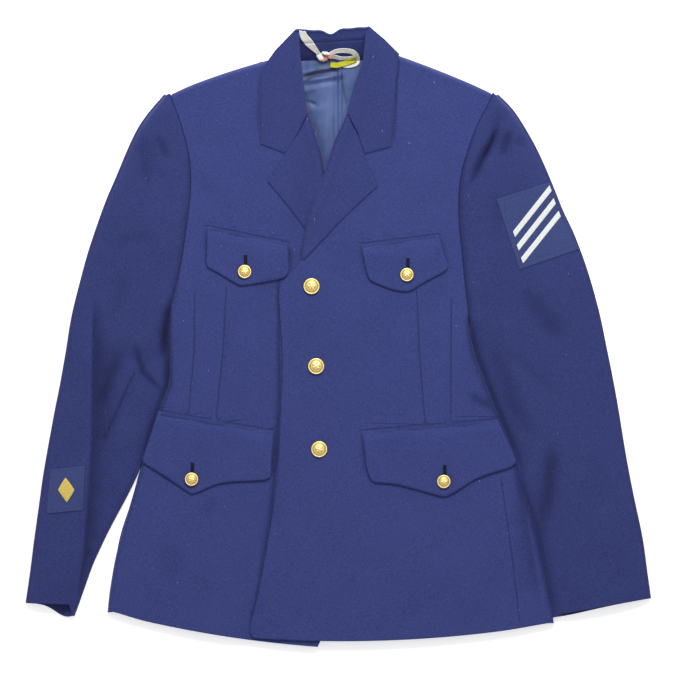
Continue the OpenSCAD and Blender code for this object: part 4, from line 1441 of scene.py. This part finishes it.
@dataclass
class Badges:
    """Rank badge and braids on the left sleeve, and the small badge on the right cuff."""

    left: Sleeve
    right: Sleeve
    rank: tuple[Point, ...] = ((205.4, 178.3), (275.5, 200.5), (312.8, 113), (235.2, 86.3))
    braids: tuple[tuple[Point, Point], ...] = (
        ((228.3, 132.5), (275.8, 192.5)), ((233.2, 114.9), (281.2, 175.8)), ((238.7, 98.2), (287.7, 159.4)),
    )
    small: tuple[Point, ...] = ((-374.5, -173.5), (-329.5, -168.5), (-332.5, -226.5), (-379.5, -231))
    braid_width: float = 6.4

    @staticmethod
    def turned_edge(u: float, v: float) -> float:
        """Height of a badge's face near its stitched edge."""
        near = min(u, 1 - u, v, 1 - v)
        return -0.5 * clamp01(1 - near / 0.03) ** 2 - 0.35 * math.exp(-(((near - 0.05) / 0.015) ** 2))

    def stitched(self, sleeve: Sleeve, name: str, corners: Sequence[Point], inset: float) -> bpy.types.Object:
        """Machine stitches just inside a badge's edge."""
        middle = (sum(x for x, _ in corners) / 4, sum(y for _, y in corners) / 4)
        inner = [(mix(x, middle[0], inset), mix(y, middle[1], inset)) for x, y in corners]
        loop = inner + [inner[0]]
        path = []
        for (ax, ay), (bx, by) in zip(loop, loop[1:]):
            for k in range(30):
                path.append(sleeve.over(mix(ax, bx, k / 30), mix(ay, by, k / 30), 1.75))
        path.append(sleeve.over(*loop[-1], 1.75))
        return Stitching(1.9, 1.1, 0.2).sew(name, path)

    def build(self) -> None:
        """Makes the felt, the braids, the stitching and the embroidery."""
        felt = self.left.patch("rank_felt", self.rank, 0.25, 1.4, (70, 80), self.turned_edge)
        Finish.FELT.paint(felt)
        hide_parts("rank_badge")
        self.left.bent(felt)
        for k, line in enumerate(self.braids):
            braid = self.braid(f"rank_braid_{k + 1}", *line)
            Finish.BRAID.paint(braid)
            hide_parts("rank_stripes")
            self.left.bent(braid)
        patch = self.right.patch("cuff_felt", self.small, 0.25, 1.2, (44, 54), self.turned_edge)
        Finish.FELT.paint(patch)
        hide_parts("cuff_badge")
        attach(patch, self.right.body)
        for sleeve, name, corners, inset in (
            (self.left, "rank_stitches", self.rank, 0.06), (self.right, "cuff_stitches", self.small, 0.09),
        ):
            thread = self.stitched(sleeve, name, corners, inset)
            Finish.FELT_THREAD.paint(thread)
            sleeve.bent(thread)
        emblem = self.lozenge()
        Finish.GOLD_THREAD.paint(emblem)
        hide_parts("cuff_emblem")
        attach(emblem, self.right.body)

    def braid(self, name: str, start: Point, end: Point) -> bpy.types.Object:
        """One slanted braid with its ends cut in line with the badge."""
        cut = Vector((0.35, -0.94)) * self.braid_width * 0.62
        corners = (
            (start[0] - cut.x, start[1] - cut.y), (end[0] - cut.x, end[1] - cut.y),
            (end[0] + cut.x, end[1] + cut.y), (start[0] + cut.x, start[1] + cut.y),
        )

        def hump(u: float, v: float) -> float:
            """Height of the braid's rounded, ribbed face."""
            return 0.55 * max(0.0, 1 - (2 * v - 1) ** 4) ** 0.5 + 0.07 * math.sin(u * 260 + v * 5) - 0.25

        return self.left.patch(name, corners, 1.75, 0.9, (200, 12), hump)

    def lozenge(self) -> bpy.types.Object:
        """Raised embroidered lozenge in the middle of the cuff badge."""
        x, y = (sum(c[k] for c in self.small) / 4 for k in (0, 1))

        def place(u: float, v: float) -> Vector:
            """Point of the lozenge, which is stitched across."""
            k = 2 * v - 1
            wide = 10.0 * (1 - abs(k) ** 1.15) + 0.6
            px = x + wide * (2 * u - 1) + 0.8 * k
            py = y - 15.5 * k
            hump = 0.9 * (1 - max(abs(k), abs(2 * u - 1)) ** 4) + 0.13 * math.sin(v * 95 + 3 * abs(2 * u - 1))
            return self.right.over(px, py, 2.4 + hump)

        return cloth("cuff_lozenge", place, (30, 60), 1.0, 0.1, rim=0.0)


# ---------------------------------------------------------------- neck ribbon and buttons


@dataclass
class Ribbon:
    """Cotton tape that is knotted and looped inside the back of the neck, with a folded yellow tag."""

    collar: Collar

    def strip(self, name: str, path: Sequence[tuple[float, float, float, float]], thick: float,
              curl: float) -> bpy.types.Object:
        """Makes a strip of cloth along a path.

        Args:
            name: Name of the piece.
            path: Its middle line as x, y, height over the collar and width, in millimetres.
            thick: Thickness, in millimetres.
            curl: How far its two edges lift, in millimetres.

        Returns:
            The finished strip.
        """

        def place(u: float, v: float) -> Vector:
            """Point of the strip, across and along its path."""
            x, y, lift, width = along(path, v)
            ax, ay = along(path, max(0.0, v - 0.01))[:2]
            bx, by = along(path, min(1.0, v + 0.01))[:2]
            size = math.hypot(bx - ax, by - ay) or 1.0
            off = (u - 0.5) * width
            px, py = x - (by - ay) / size * off, y + (bx - ax) / size * off
            wave = curl * (2 * u - 1) ** 2 + 0.25 * math.sin(v * 17 + u * 3)
            return Vector((px, py, self.collar.over(px, py, lift + wave + thick).z))

        piece = cloth(name, place, (10, 90), thick, 0.0, rim=0.0)
        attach(piece, "torso")
        return piece

    def knot(self) -> None:
        """Makes the knot: three short turns of tape round one another, two of them stained."""
        turns = (
            (Finish.TAPE, (-24.0, 364.0), 0.5, (4.2, 6.2)),
            (Finish.STAINED_TAPE, (-17.5, 361.6), -0.85, (3.8, 6.0)),
            (Finish.STAINED_TAPE, (-11.0, 364.8), 0.25, (3.4, 4.8)),
            (Finish.TAPE, (-16.5, 367.6), 1.35, (2.4, 5.6)),
        )
        for k, (finish, (x, y), turn, (wide, tall)) in enumerate(turns):
            bm = bmesh.new()
            bmesh.ops.create_uvsphere(bm, u_segments=32, v_segments=20, radius=1.0)
            for vert in bm.verts:
                swirl = math.atan2(vert.co.y, vert.co.x)
                vert.co *= 1 + 0.06 * math.sin(5 * swirl + 4 * vert.co.z + k)
            matrix = (
                Matrix.Scale(MM, 4) @ Matrix.Translation((x, y, self.collar.over(x, y, 3.4 + 0.5 * (k % 2)).z))
                @ Matrix.Rotation(turn, 4, "Z") @ Matrix.Diagonal((wide, tall, 2.3, 1))
            )
            bmesh.ops.transform(bm, matrix=matrix, verts=bm.verts[:])
            piece = from_bmesh(bm, f"tape_knot_{k + 1}")
            finish.paint(piece)
            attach(piece, "torso")

    def build(self) -> None:
        """Makes the tape's end and loop, the knot and the tag."""
        end = self.strip("tape_end", (
            (-47.4, 399.4, 0.5, 7.2), (-45.4, 390.5, 1.0, 9.4), (-38.6, 381.5, 1.4, 10.4),
            (-31.5, 373.6, 1.8, 7.4),
            (-25.8, 367.2, 3.0, 4.2),
        ), 0.6, 0.5)
        loop = self.strip("tape_loop", (
            (-12.5, 366, 2.4, 4.4), (-2, 370.2, 1.8, 5.4), (10, 370.8, 1.6, 6), (20, 368.2, 1.6, 6.4),
            (24.6, 360.5, 1.6, 6.6),
            (23, 354.6, 2.6, 6.2), (15, 352.0, 3.6, 5.8), (6, 351.8, 3.6, 5.2),
        ), 0.6, 0.3)
        cross = self.strip("tape_cross", (
            (-12.5, 364.4, 2.6, 5.6), (-4, 362.6, 2.0, 5.2), (4, 360.8, 2.6, 4.6), (12, 361.2, 2.2, 3.8),
            (20, 362.5, 1.8, 3.2),
        ), 0.6, 0.3)
        tag = self.strip("yellow_tag", (
            (-10.6, 353.0, 5.6, 6.6), (-2, 352.2, 6.0, 6.6), (7, 354.2, 6.2, 6.4), (15, 356.8, 6.0, 6.2),
            (23, 360.0, 5.4, 6.0),
        ), 0.5, 0.15)
        for piece in (end, loop, cross):
            Finish.TAPE.paint(piece)
        Finish.TAG.paint(tag)
        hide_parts("neck_ribbon")
        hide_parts("neck_tag")
        self.knot()


@dataclass
class Button:
    """A two-part domed button: a shell with a roped rim and a rosette, and a back plate with a wire shank."""

    name: str
    at: Spot
    diameter: float
    turn: float = 0.0
    rim_h: float = 2.0
    dome: float = 3.2
    wall: float = 0.6

    def shell(self) -> bpy.types.Object:
        """The domed shell, lathed, with the relief raised out of its crown."""
        r = self.diameter / 2
        outer = [(0.0, self.rim_h + self.dome)]
        steps = 26
        for k in range(1, steps + 1):
            a = math.pi / 2 * k / steps
            outer.append(((r - 1.9) * math.sin(a), self.rim_h + self.dome * math.cos(a)))
        rim = [(r - 0.95 + 0.95 * math.sin(math.radians(d)),
                self.rim_h - 0.55 + 0.85 * math.cos(math.radians(d)))
               for d in range(-60, 150, 15)]
        profile = outer + rim + [(r - 0.5, 0.05), (r - 1.2, 0.0), (r - 1.2, 0.7)]
        bm = bmesh.new()
        verts = [bm.verts.new((x * MM, 0, z * MM)) for x, z in profile]
        edges = [bm.edges.new(pair) for pair in zip(verts, verts[1:])]
        around = {"cent": (0, 0, 0), "axis": (0, 0, 1), "angle": math.tau, "steps": 144, "use_merge": True}
        bmesh.ops.spin(bm, geom=verts + edges, **around)
        bmesh.ops.remove_doubles(bm, verts=bm.verts[:], dist=0.00001)
        recess = bm.verts.layers.float.new("recess")
        for vert in bm.verts:
            radius = math.hypot(vert.co.x, vert.co.y) / MM / r
            angle = math.atan2(vert.co.y, vert.co.x)
            vert.co.z += self.relief(radius, angle) * MM if radius < 0.98 else 0.0
            vert[recess] = self.shade(radius, angle)
        bmesh.ops.recalc_face_normals(bm, faces=bm.faces[:])
        piece = from_bmesh(bm, f"{self.name}_dome")
        return thickened(piece, self.wall, 0.0)

    def relief(self, radius: float, angle: float) -> float:
        """Height of the rosette and the rope at a point of the face, in millimetres."""
        petals = 0.5 + 0.5 * math.cos(6 * angle)
        rosette = 0.5 * petals * math.exp(-(((radius - 0.34) / 0.13) ** 2))
        centre = 0.45 * math.exp(-((radius / 0.13) ** 2))
        ring = 0.28 * math.exp(-(((radius - 0.62) / 0.035) ** 2))
        rope = 0.16 * math.sin(36 * angle + radius * 30) * math.exp(-(((radius - 0.9) / 0.06) ** 2))
        return rosette + centre + ring + rope

    def shade(self, radius: float, angle: float) -> float:
        """How deep in the relief a point lies, from 0 to 1."""
        petals = 0.5 + 0.5 * math.cos(6 * angle)
        raised = petals * math.exp(-(((radius - 0.34) / 0.14) ** 2)) + math.exp(-((radius / 0.14) ** 2))
        raised += math.exp(-(((radius - 0.62) / 0.05) ** 2)) + math.exp(-(((radius - 0.9) / 0.09) ** 2))
        return clamp01(0.75 - 0.9 * raised)

    def back(self) -> bpy.types.Object:
        """The back plate with its wire loop."""
        bm = bmesh.new()
        radius = self.diameter / 2 - 0.98
        bmesh.ops.create_cone(
            bm, cap_ends=True, segments=64, radius1=radius * MM, radius2=radius * MM, depth=0.7 * MM,
            matrix=Matrix.Translation((0, 0, 0.55 * MM)),
        )
        bmesh.ops.bevel(bm, geom=[e for e in bm.edges if e.is_boundary or e.calc_face_angle(0) > 1.0],
                        offset=0.15 * MM,
                        segments=2, profile=0.5, affect="EDGES", material=-1)
        plate = set(bm.verts)
        wire = bmesh.ops.create_circle(
            bm, segments=12, radius=0.8 * MM, matrix=Matrix.Translation((2.0 * MM, 0, 0))
        )
        ring = wire["verts"] + list({e for v in wire["verts"] for e in v.link_edges})
        for vert in wire["verts"]:
            vert.co = Vector((vert.co.x, 0, vert.co.y))
        bmesh.ops.spin(bm, geom=ring, cent=(0, 0, 0), axis=(0, 1, 0), angle=math.tau, steps=32, use_merge=True)
        bmesh.ops.translate(bm, verts=[v for v in bm.verts if v not in plate], vec=Vector((0, 0, -2.1 * MM)))
        bmesh.ops.remove_doubles(bm, verts=bm.verts[:], dist=0.00001)
        bmesh.ops.recalc_face_normals(bm, faces=bm.faces[:])
        return from_bmesh(bm, f"{self.name}_plate")

    def build(self) -> None:
        """Makes both parts where the button sits."""
        for piece, part in ((self.shell(), "shell"), (self.back(), "back")):
            piece.data.transform(Matrix.Translation(Vector(self.at) * MM) @ Matrix.Rotation(self.turn, 4, "Z"))
            Finish.GILT.paint(piece)
            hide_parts(f"{self.name}_{part}")
            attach(piece, self.name)


# ---------------------------------------------------------------- the whole jacket


@dataclass
class Jacket:
    """Every sub-assembly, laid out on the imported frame."""

    frame: dict

    def __post_init__(self) -> None:
        """Builds the drape, the faces of the fronts and every sub-assembly on them."""
        joints = self.frame
        self.drape = Drape(HingeLine.of(joints, "right_front_opens"), HingeLine.of(joints, "left_front_opens"))
        self.surfaces = {
            Side.RIGHT: Surface(self.drape.under, (
                Crease((-190, 215), (-150, 160), 14, -1.6),
                Crease((-186, 240), (-172, 190), 10, 1.4),
                Crease((-205, 20), (-188, -70), 16, 1.5),
                Crease((-140, 40), (-150, -90), 18, -1.0),
                Crease((-232, -240), (-150, -330), 30, 1.2),
            )),
            Side.LEFT: Surface(self.drape.top, (
                Crease((150, 215), (110, 165), 14, -1.4),
                Crease((158, 240), (140, 190), 10, 1.2),
                Crease((168, 20), (150, -70), 16, 1.5),
                Crease((100, 40), (105, -90), 18, -0.8),
                Crease((235, -240), (180, -330), 30, 1.2),
                Crease((-60, -60), (-66, -330), 20, 0.9),
            )),
        }
        self.fronts = {
            Side.RIGHT: Front(
                Side.RIGHT,
                ((-52, 368, -218, 315, -4.5), (-46, 330, -209, 290), (-42, 300, -202, 262),
                 (-30, 259, -193, 237),
                 (-20, 219, -191, 204), (-14, 190, -191, 176), (-10, 142, -195, 142), (-8, 96, -204, 90),
                 (-6, 60, -212, 60), (-4, 20, -224, 28), (-3, -18, -219, -20), (-3, -56, -219, -58),
                 (-3, -95, -231, -91), (-3, -165, -254, -160), (-4, -215, -267, -206), (-5, -275, -286, -265),
                 (-6, -330, -294, -316), (-19, -384, -300, -350, 3), (-27, -404, -301, -358.5, 6.5)),
                self.surfaces[Side.RIGHT],
                (((-187, 54), (-188, -18)), ((-188, -18), (-195, -100)), ((-146, 63), (-150, -18)),
                 ((-150, -18), (-159, -105)), ((-171, 144), (-65, 122.6)), ((-234.5, -96.2), (-84, -122.1))),
                ((-0.1955, -0.0089, 0.02), (-0.1706, -0.0161, 0.02)),
                32,
                ((-219, 330), (-219, 314), (-208, 286), (-196.5, 249), (-191.5, 217), (-192, 182), (-198, 138),
                 (-205, 89), (-215, 51), (-223, 22), (-222, -18), (-219.5, -61), (-231, -88), (-254.5, -160),
                 (-266, -203), (-282, -256), (-292, -296), (-301, -357), (-301, -420)),
                (Stroke(((-205, 89), (-215, 51), (-223, 22), (-222, -18), (-219.5, -61), (-231, -88),
                         (-254, -160)), 6, 0.3, 1, 0.1),
                 Stroke(((-101, 345), (-102.5, 310), (-103, 262)), 3.2, 0.4, -1, 0.1),
                 Stroke(((-60, 112), (-77, 69), (-76, 13), (-75, -72), (-79, -158), (-87, -238), (-107, -351),
                         (-116, -382)),
                        5, 0.5, -1, 0.05),
                 Stroke(((-171, 140), (-172, 92)), 3, 0.3, -1, 0.1),
                 Stroke(((-66, 118), (-64, 100), (-65, 84)), 5, 0.45, 1, 0.1),
                 Stroke(((-84, -124), (-88, -184)), 5, 0.4, 1, 0.1),
                 Stroke(((-158, -204), (-180, -236)), 9, 0.13),
                 Stroke(((-200, -270), (-236, -322)), 15, 0.1),
                 Stroke(((-188, 40), (-190, -50), (-197, -98)), 5, 0.14, 1),
                 Stroke(((-147, 55), (-150, -18), (-160, -100)), 5, 0.12, 1)),
            ),
            Side.LEFT: Front(
                Side.LEFT,
                ((46, 375.5, 199, 316, -2.5), (36, 332, 187, 290), (22, 305, 177, 262), (-3, 259, 164, 232),
                 (-16, 219, 157, 190), (-31, 180, 155.5, 160), (-43, 142, 157, 129), (-51, 96, 163, 80),
                 (-75, 66, 168, 55), (-76, 26, 174, 20), (-73, -18, 176, -18), (-73, -56, 189.5, -56),
                 (-75, -100, 203.5, -96), (-78, -165, 233.5, -160), (-83, -215, 239.5, -206),
                 (-93, -275, 262.5, -265), (-103, -330, 274, -316), (-114.5, -378, 280, -359.5, 5),
                 (-111, -392.4, 280.5, -373.2, 12)),
                self.surfaces[Side.LEFT],
                (((102, 57), (105, -18)), ((105, -18), (112, -108)), ((147, 46), (146, -105)),
                 ((212, -189), (218, -232)),
                 ((218, -232), (227, -296)), ((227, -296), (235, -366)), ((29, 120.6), (130, 132.9)),
                 ((30, -122), (207, -107.5))),
                ((0.1726, -0.0089, 0.02), (0.1476, -0.0162, 0.02)),
                24,
                ((199.6, 330), (199.6, 315), (199, 310), (180, 275), (166, 237), (157.6, 205), (156, 176),
                 (156, 147), (160, 112),
                 (164, 69), (169, 31), (175, -18), (189, -53), (203.5, -90), (218, -125), (232.5, -160),
                 (234, -180),
                 (240, -209), (256, -247), (264, -285), (273, -325), (280, -366), (281, -420)),
                (Stroke(((169, 31), (175, -18), (189, -53), (203.5, -90), (232, -160), (234, -180),
                         (256, -247), (273, -325),
                         (280, -366)), 8, 0.36, -1, 0.1),
                 Stroke(((79.5, 366), (74.5, 330), (73.5, 300), (70, 246)), 2.4, 0.75, 1, 0.1),
                 Stroke(((164, -72), (204, -95)), 6, 0.36),
                 Stroke(((29, 118), (37, 84), (49, 67)), 3, 0.4, -1, 0.1),
                 Stroke(((130, 130), (142.5, 90)), 3, 0.3, 1, 0.1),
                 Stroke(((30, -122), (36, -168), (45, -191)), 3, 0.4, -1, 0.1),
                 Stroke(((232, -176), (244, -235), (258, -310), (266, -360)), 15, 0.28, -1),
                 Stroke(((104, 50), (106, -18), (113, -105)), 5, 0.12, -1),
                 Stroke(((147, 40), (146, -100)), 5, 0.12, -1)),
            ),
        }

    def pockets(self) -> list[Pocket]:
        """The four flaps."""
        right, left = self.fronts[Side.RIGHT], self.fronts[Side.LEFT]
        return [
            Pocket("chest_flap_right", Side.RIGHT, right.surface, right.bend, ((-170.3, 143.6), (-65.9, 122.5)),
                   ((-171.8, 96), (-171, 90), (-161, 85), (-140, 72.5), (-129, 66.2), (-124, 66), (-97.9, 69.8),
                    (-76, 74), (-66.5, 78), (-65.2, 88)),
                   (-122, 84), 110, (4, 40)),
            Pocket("chest_flap_left", Side.LEFT, left.surface, left.bend, ((29.5, 120.4), (129.5, 132.6)),
                   ((36.5, 84), (40, 73), (49, 68.5), (70, 60.5), (84, 58), (94, 58.4), (111, 70), (135, 82),
                    (142, 87), (142, 93)),
                   (89, 80), 110, (4, 8)),
            Pocket("hip_flap_right", Side.RIGHT, right.surface, right.bend, ((-234, -96.6), (-84.6, -122.4)),
                   ((-254, -158), (-254.6, -164), (-248, -168), (-215, -189), (-194, -204), (-189, -205.6),
                    (-174, -199), (-158, -192), (-138, -189), (-110, -187.8), (-93, -186.5), (-88, -183),
                    (-88, -170)),
                   (-191, -186), 150, (16, 24)),
            Pocket("hip_flap_left", Side.LEFT, left.surface, left.bend, ((30.9, -122.4), (206.4, -107.9)),
                   ((36.5, -168), (40, -184), (45, -190), (58, -191), (75, -192), (102, -199.5), (130, -207.5),
                    (139, -208.8), (148, -205), (162, -196), (177, -186), (200, -177.4), (226, -170.5),
                    (231.5, -162)),
                   (137, -189), 150, (4, 20)),
        ]

    def sleeves(self) -> dict[Side, Sleeve]:
        """Both sleeves."""
        return {
            Side.RIGHT: Sleeve(
                Side.RIGHT,
                ((-216.4, 315.4, -225, 313.4, 1), (-208, 284, -259, 270, 1), (-195, 237, -289, 203, 1),
                 (-192.5, 204, -301, 175, 1), (-194, 162, -313, 142, 1), (-201, 124, -323, 112, 1),
                 (-207, 89, -331, 84, 1), (-223, 33, -345, 28, 1), (-221, -20, -353, -20, 0),
                 (-220.5, -61, -361, -65, 0),
                 (-232.5, -92, -368, -100, 0), (-255.5, -161, -381, -172, 0), (-271, -197, -387, -214, 0),
                 (-299.5, -251, -394, -265, 0), (-318.5, -291, -399, -305, 0), (-345, -349, -405, -347, 0)),
                self.fronts[Side.RIGHT],
                (Crease((-251, 263), (-237, 196), 8, -2.6), Crease((-231, 251), (-220, 228), 6, -1.8),
                 Crease((-240, -24), (-304, -143), 3.2, -2.0), Crease((-283, -30), (-312, -88), 6, -2.6),
                 Crease((-236, 120), (-262, 10), 14, 2.2), Crease((-300, 60), (-262, -20), 18, 1.6),
                 Crease((-322, 30), (-300, -60), 14, -1.8), Crease((-255, 170), (-300, 120), 20, 1.4),
                 Crease((-230, 60), (-228, -20), 8, 1.6), Crease((-345, -250), (-372, -330), 16, 1.4)),
                (Step((-321, -134), (-320, -18), 4.2, 5), Step((-331, -279), (-320.6, -134), 6.5, 5),
                 Step((-342, -348), (-331, -279), 6.5, 5)),
                (Stroke(((-319, 60), (-320, -18), (-321, -134), (-324, -192), (-331, -279), (-342, -352)), 15,
                        0.44, 1, 0.12),
                 Stroke(((-262, -40), (-308, -140)), 1.9, 0.5, 0, 0.1),
                 Stroke(((-280, -10), (-296, -50), (-314, -100)), 9, 0.36),
                 Stroke(((-308, 20), (-300, -170)), 14, 0.22),
                 Stroke(((-268, 0), (-261, -22), (-254.7, -45.7), (-238, -62), (-222, -80)), 4.5, 0.5),
                 Stroke(((-219, -20), (-221, -50), (-222, -84)), 6, 0.36),
                 Stroke(((-219, 56), (-224, 20), (-228, -6), (-230, -34)), 6, 0.62, 0, 0.3),
                 Stroke(((-305, 122), (-262, 130), (-222, 128)), 9, 0.14),
                 Stroke(((-275, 96), (-292, 22)), 12, 0.14),
                 Stroke(((-223, 22), (-222, -18), (-220, -61), (-231, -88), (-254, -160)), 6, 0.34, -1, 0.1),
                 Stroke(((-256, 274), (-253, 235), (-246, 190)), 8, 0.22),
                 Stroke(((-238, 268), (-229, 246), (-220, 226)), 6, 0.26),
                 Stroke(((-197, 249), (-191.5, 217), (-192, 182), (-198, 138), (-205, 89), (-223, 22)), 6,
                        0.3, -1, 0.1)),
                ((-0.222, 0.040, 0.02), (-0.300, -0.120, 0.02)),
                slip=16.0,
            ),
            Side.LEFT: Sleeve(
                Side.LEFT,
                ((196.8, 316.2, 206, 313.2, 1), (190, 296, 226.5, 292, 1), (178.5, 262, 247, 260, 1),
                 (165.5, 232, 263, 229, 1),
                 (158.5, 192, 278, 194, 1), (156.5, 162, 291, 162, 1), (158.5, 129, 306, 130, 1),
                 (165.5, 80, 323.5, 82, 1), (175, 25, 338, 30, 1), (176, -18, 348, -18, 0),
                 (190.5, -56, 355.5, -55, 0),
                 (204.5, -96, 362.5, -94, 0), (234.5, -160, 372.5, -155, 0), (240.5, -206, 382, -205, 0),
                 (263.5, -265, 394, -262, 0), (275.5, -308, 400, -305, 0), (282.5, -363, 405, -341, 0)),
                self.fronts[Side.LEFT],
                (Crease((209, 286), (200, 251), 6, -3.6), Crease((200, 251), (177, 211), 7, -3.6),
                 Crease((224, 269), (215, 237), 8, -2.4), Crease((238, 60), (256, 37), 10, -2.2),
                 Crease((224, -27), (270, -70), 8, -2.6), Crease((276, -145), (270, -232), 7, -2.4),
                 Crease((188, 120), (204, 20), 14, 2.0), Crease((300, 40), (318, -60), 20, 1.6),
                 Crease((300, -100), (322, -220), 20, 1.6), Crease((210, 20), (224, -27), 9, 1.6)),
                (Step((262, -215), (288, -366), 3.0, 5),),
                (Stroke(((211, 292), (204, 264), (188.5, 234), (177, 209), (160, 188)), 5.5, 0.62),
                 Stroke(((206, 276), (198, 250), (184, 224)), 2.2, 0.5),
                 Stroke(((224, 274), (219, 252), (210, 230)), 7, 0.4),
                 Stroke(((238, 262), (236, 244)), 9, 0.22),
                 Stroke(((200, 192), (206, 160), (204, 130)), 9, 0.12),
                 Stroke(((190, 4), (211, -36), (233, -98), (270, -146)), 11, 0.24),
                 Stroke(((232, 64), (268, 27), (298, -10)), 13, 0.26),
                 Stroke(((279, -124), (277, -165), (272, -210), (260, -262)), 11, 0.42),
                 Stroke(((234, -180), (256, -247), (273, -325), (280, -366)), 6, 0.3, 1, 0.1),
                 Stroke(((180, 275), (166, 237), (157.6, 205), (156, 176), (156, 147), (160, 112), (164, 69),
                         (175, -18),
                         (203.5, -90), (232, -160)), 6.5, 0.34, 1, 0.08)),
                ((0.174, 0.0, 0.02), (0.252, -0.160, 0.02)),
            ),
        }

    def buttons(self) -> list[Button]:
        """All seven buttons, where the frame has them."""
        made = []
        for k, name in enumerate((
            "front_button_top", "front_button_middle", "front_button_bottom", "chest_button_right",
            "chest_button_left", "hip_button_right", "hip_button_left",
        )):
            low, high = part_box(f"{name}_shell")
            middle = (low + high) / 2 / MM
            made.append(Button(name, (middle.x, middle.y, low.z / MM), (high.x - low.x) / MM, 0.37 * k))
        return made

    def build(self) -> None:
        """Makes the jacket."""
        for front in self.fronts.values():
            front.build()
        outline = (
            (-100, 357, 79, 361, 0), (-209, 314, 190, 312, -5), (-200, 288, 180, 288, 0),
            (-197, 262, 174, 262, 0),
            (-192, 237, 162, 232, 0), (-190, 195, 156, 188, 0), (-192, 162, 154, 162, 0),
            (-199, 124, 156, 129, 0),
            (-205, 89, 163, 80, 0), (-222, 32, 173, 25, 0), (-219, -20, 174, -18, 0), (-218, -61, 188, -56, 0),
            (-230, -91, 202, -96, 0), (-253, -160, 232, -160, 0), (-266, -206, 238, -206, 0),
            (-285, -265, 261, -265, 0), (-299, -352, 279, -360, 30),
        )
        Back(outline, self.surfaces).build()
        collar = Collar(self.drape, self.fronts)
        collar.build()
        for pocket in self.pockets():
            pocket.build()
        sleeves = self.sleeves()
        for sleeve in sleeves.values():
            sleeve.build()
        Badges(sleeves[Side.LEFT], sleeves[Side.RIGHT]).build()
        Ribbon(collar).build()
        for button in self.buttons():
            button.build()


@dataclass(frozen=True)
class Studio:
    """Pale floor, soft light and a camera straight above."""

    middle: Point = (0.0150, -0.0180)
    width: float = 0.910

    def lamp(self, name: str, at: Spot, size: float, watts: float) -> None:
        """Adds one large soft lamp that looks at the middle."""
        data = bpy.data.lights.new(name, "AREA")
        data.shape = "SQUARE"
        data.size = size
        data.energy = watts
        lamp = linked(name, data)
        lamp.location = at
        aim = Vector((*self.middle, 0.0)) - Vector(at)
        lamp.rotation_euler = aim.to_track_quat("-Z", "Y").to_euler()

    def build(self) -> None:
        """Makes the floor, the lamps, the sky and the camera."""
        bm = bmesh.new()
        bmesh.ops.create_grid(bm, x_segments=1, y_segments=1, size=16.0)
        floor = from_bmesh(bm, "floor")
        floor.location.z = -0.0003
        white = Shader("floor_white")
        white.put("Base Color", srgb(250, 250, 250))
        white.put("Roughness", 0.9)
        white.put("Emission Color", (1.0, 1.0, 1.0))
        white.put("Emission Strength", 0.45)
        floor.data.materials.append(white.material)
        self.lamp("key", (0.15, 1.6, 2.1), 1.0, 58)
        world = bpy.data.worlds.new("sky")
        world.use_nodes = True
        world.node_tree.nodes["Background"].inputs[0].default_value = (1, 1, 1, 1)
        world.node_tree.nodes["Background"].inputs[1].default_value = 0.6
        bpy.context.scene.world = world
        lens = bpy.data.cameras.new("above")
        lens.type = "ORTHO"
        lens.ortho_scale = self.width
        camera = linked("above", lens)
        camera.location = (*self.middle, 2.0)
        bpy.context.scene.camera = camera
        bpy.context.scene.view_settings.view_transform = "Standard"


def main() -> None:
    """Builds the scene."""
    logging.basicConfig(level=logging.INFO, format="%(name)s: %(message)s")
    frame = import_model()
    Jacket(frame).build()
    Studio().build()


if __name__ == "__main__":
    main()
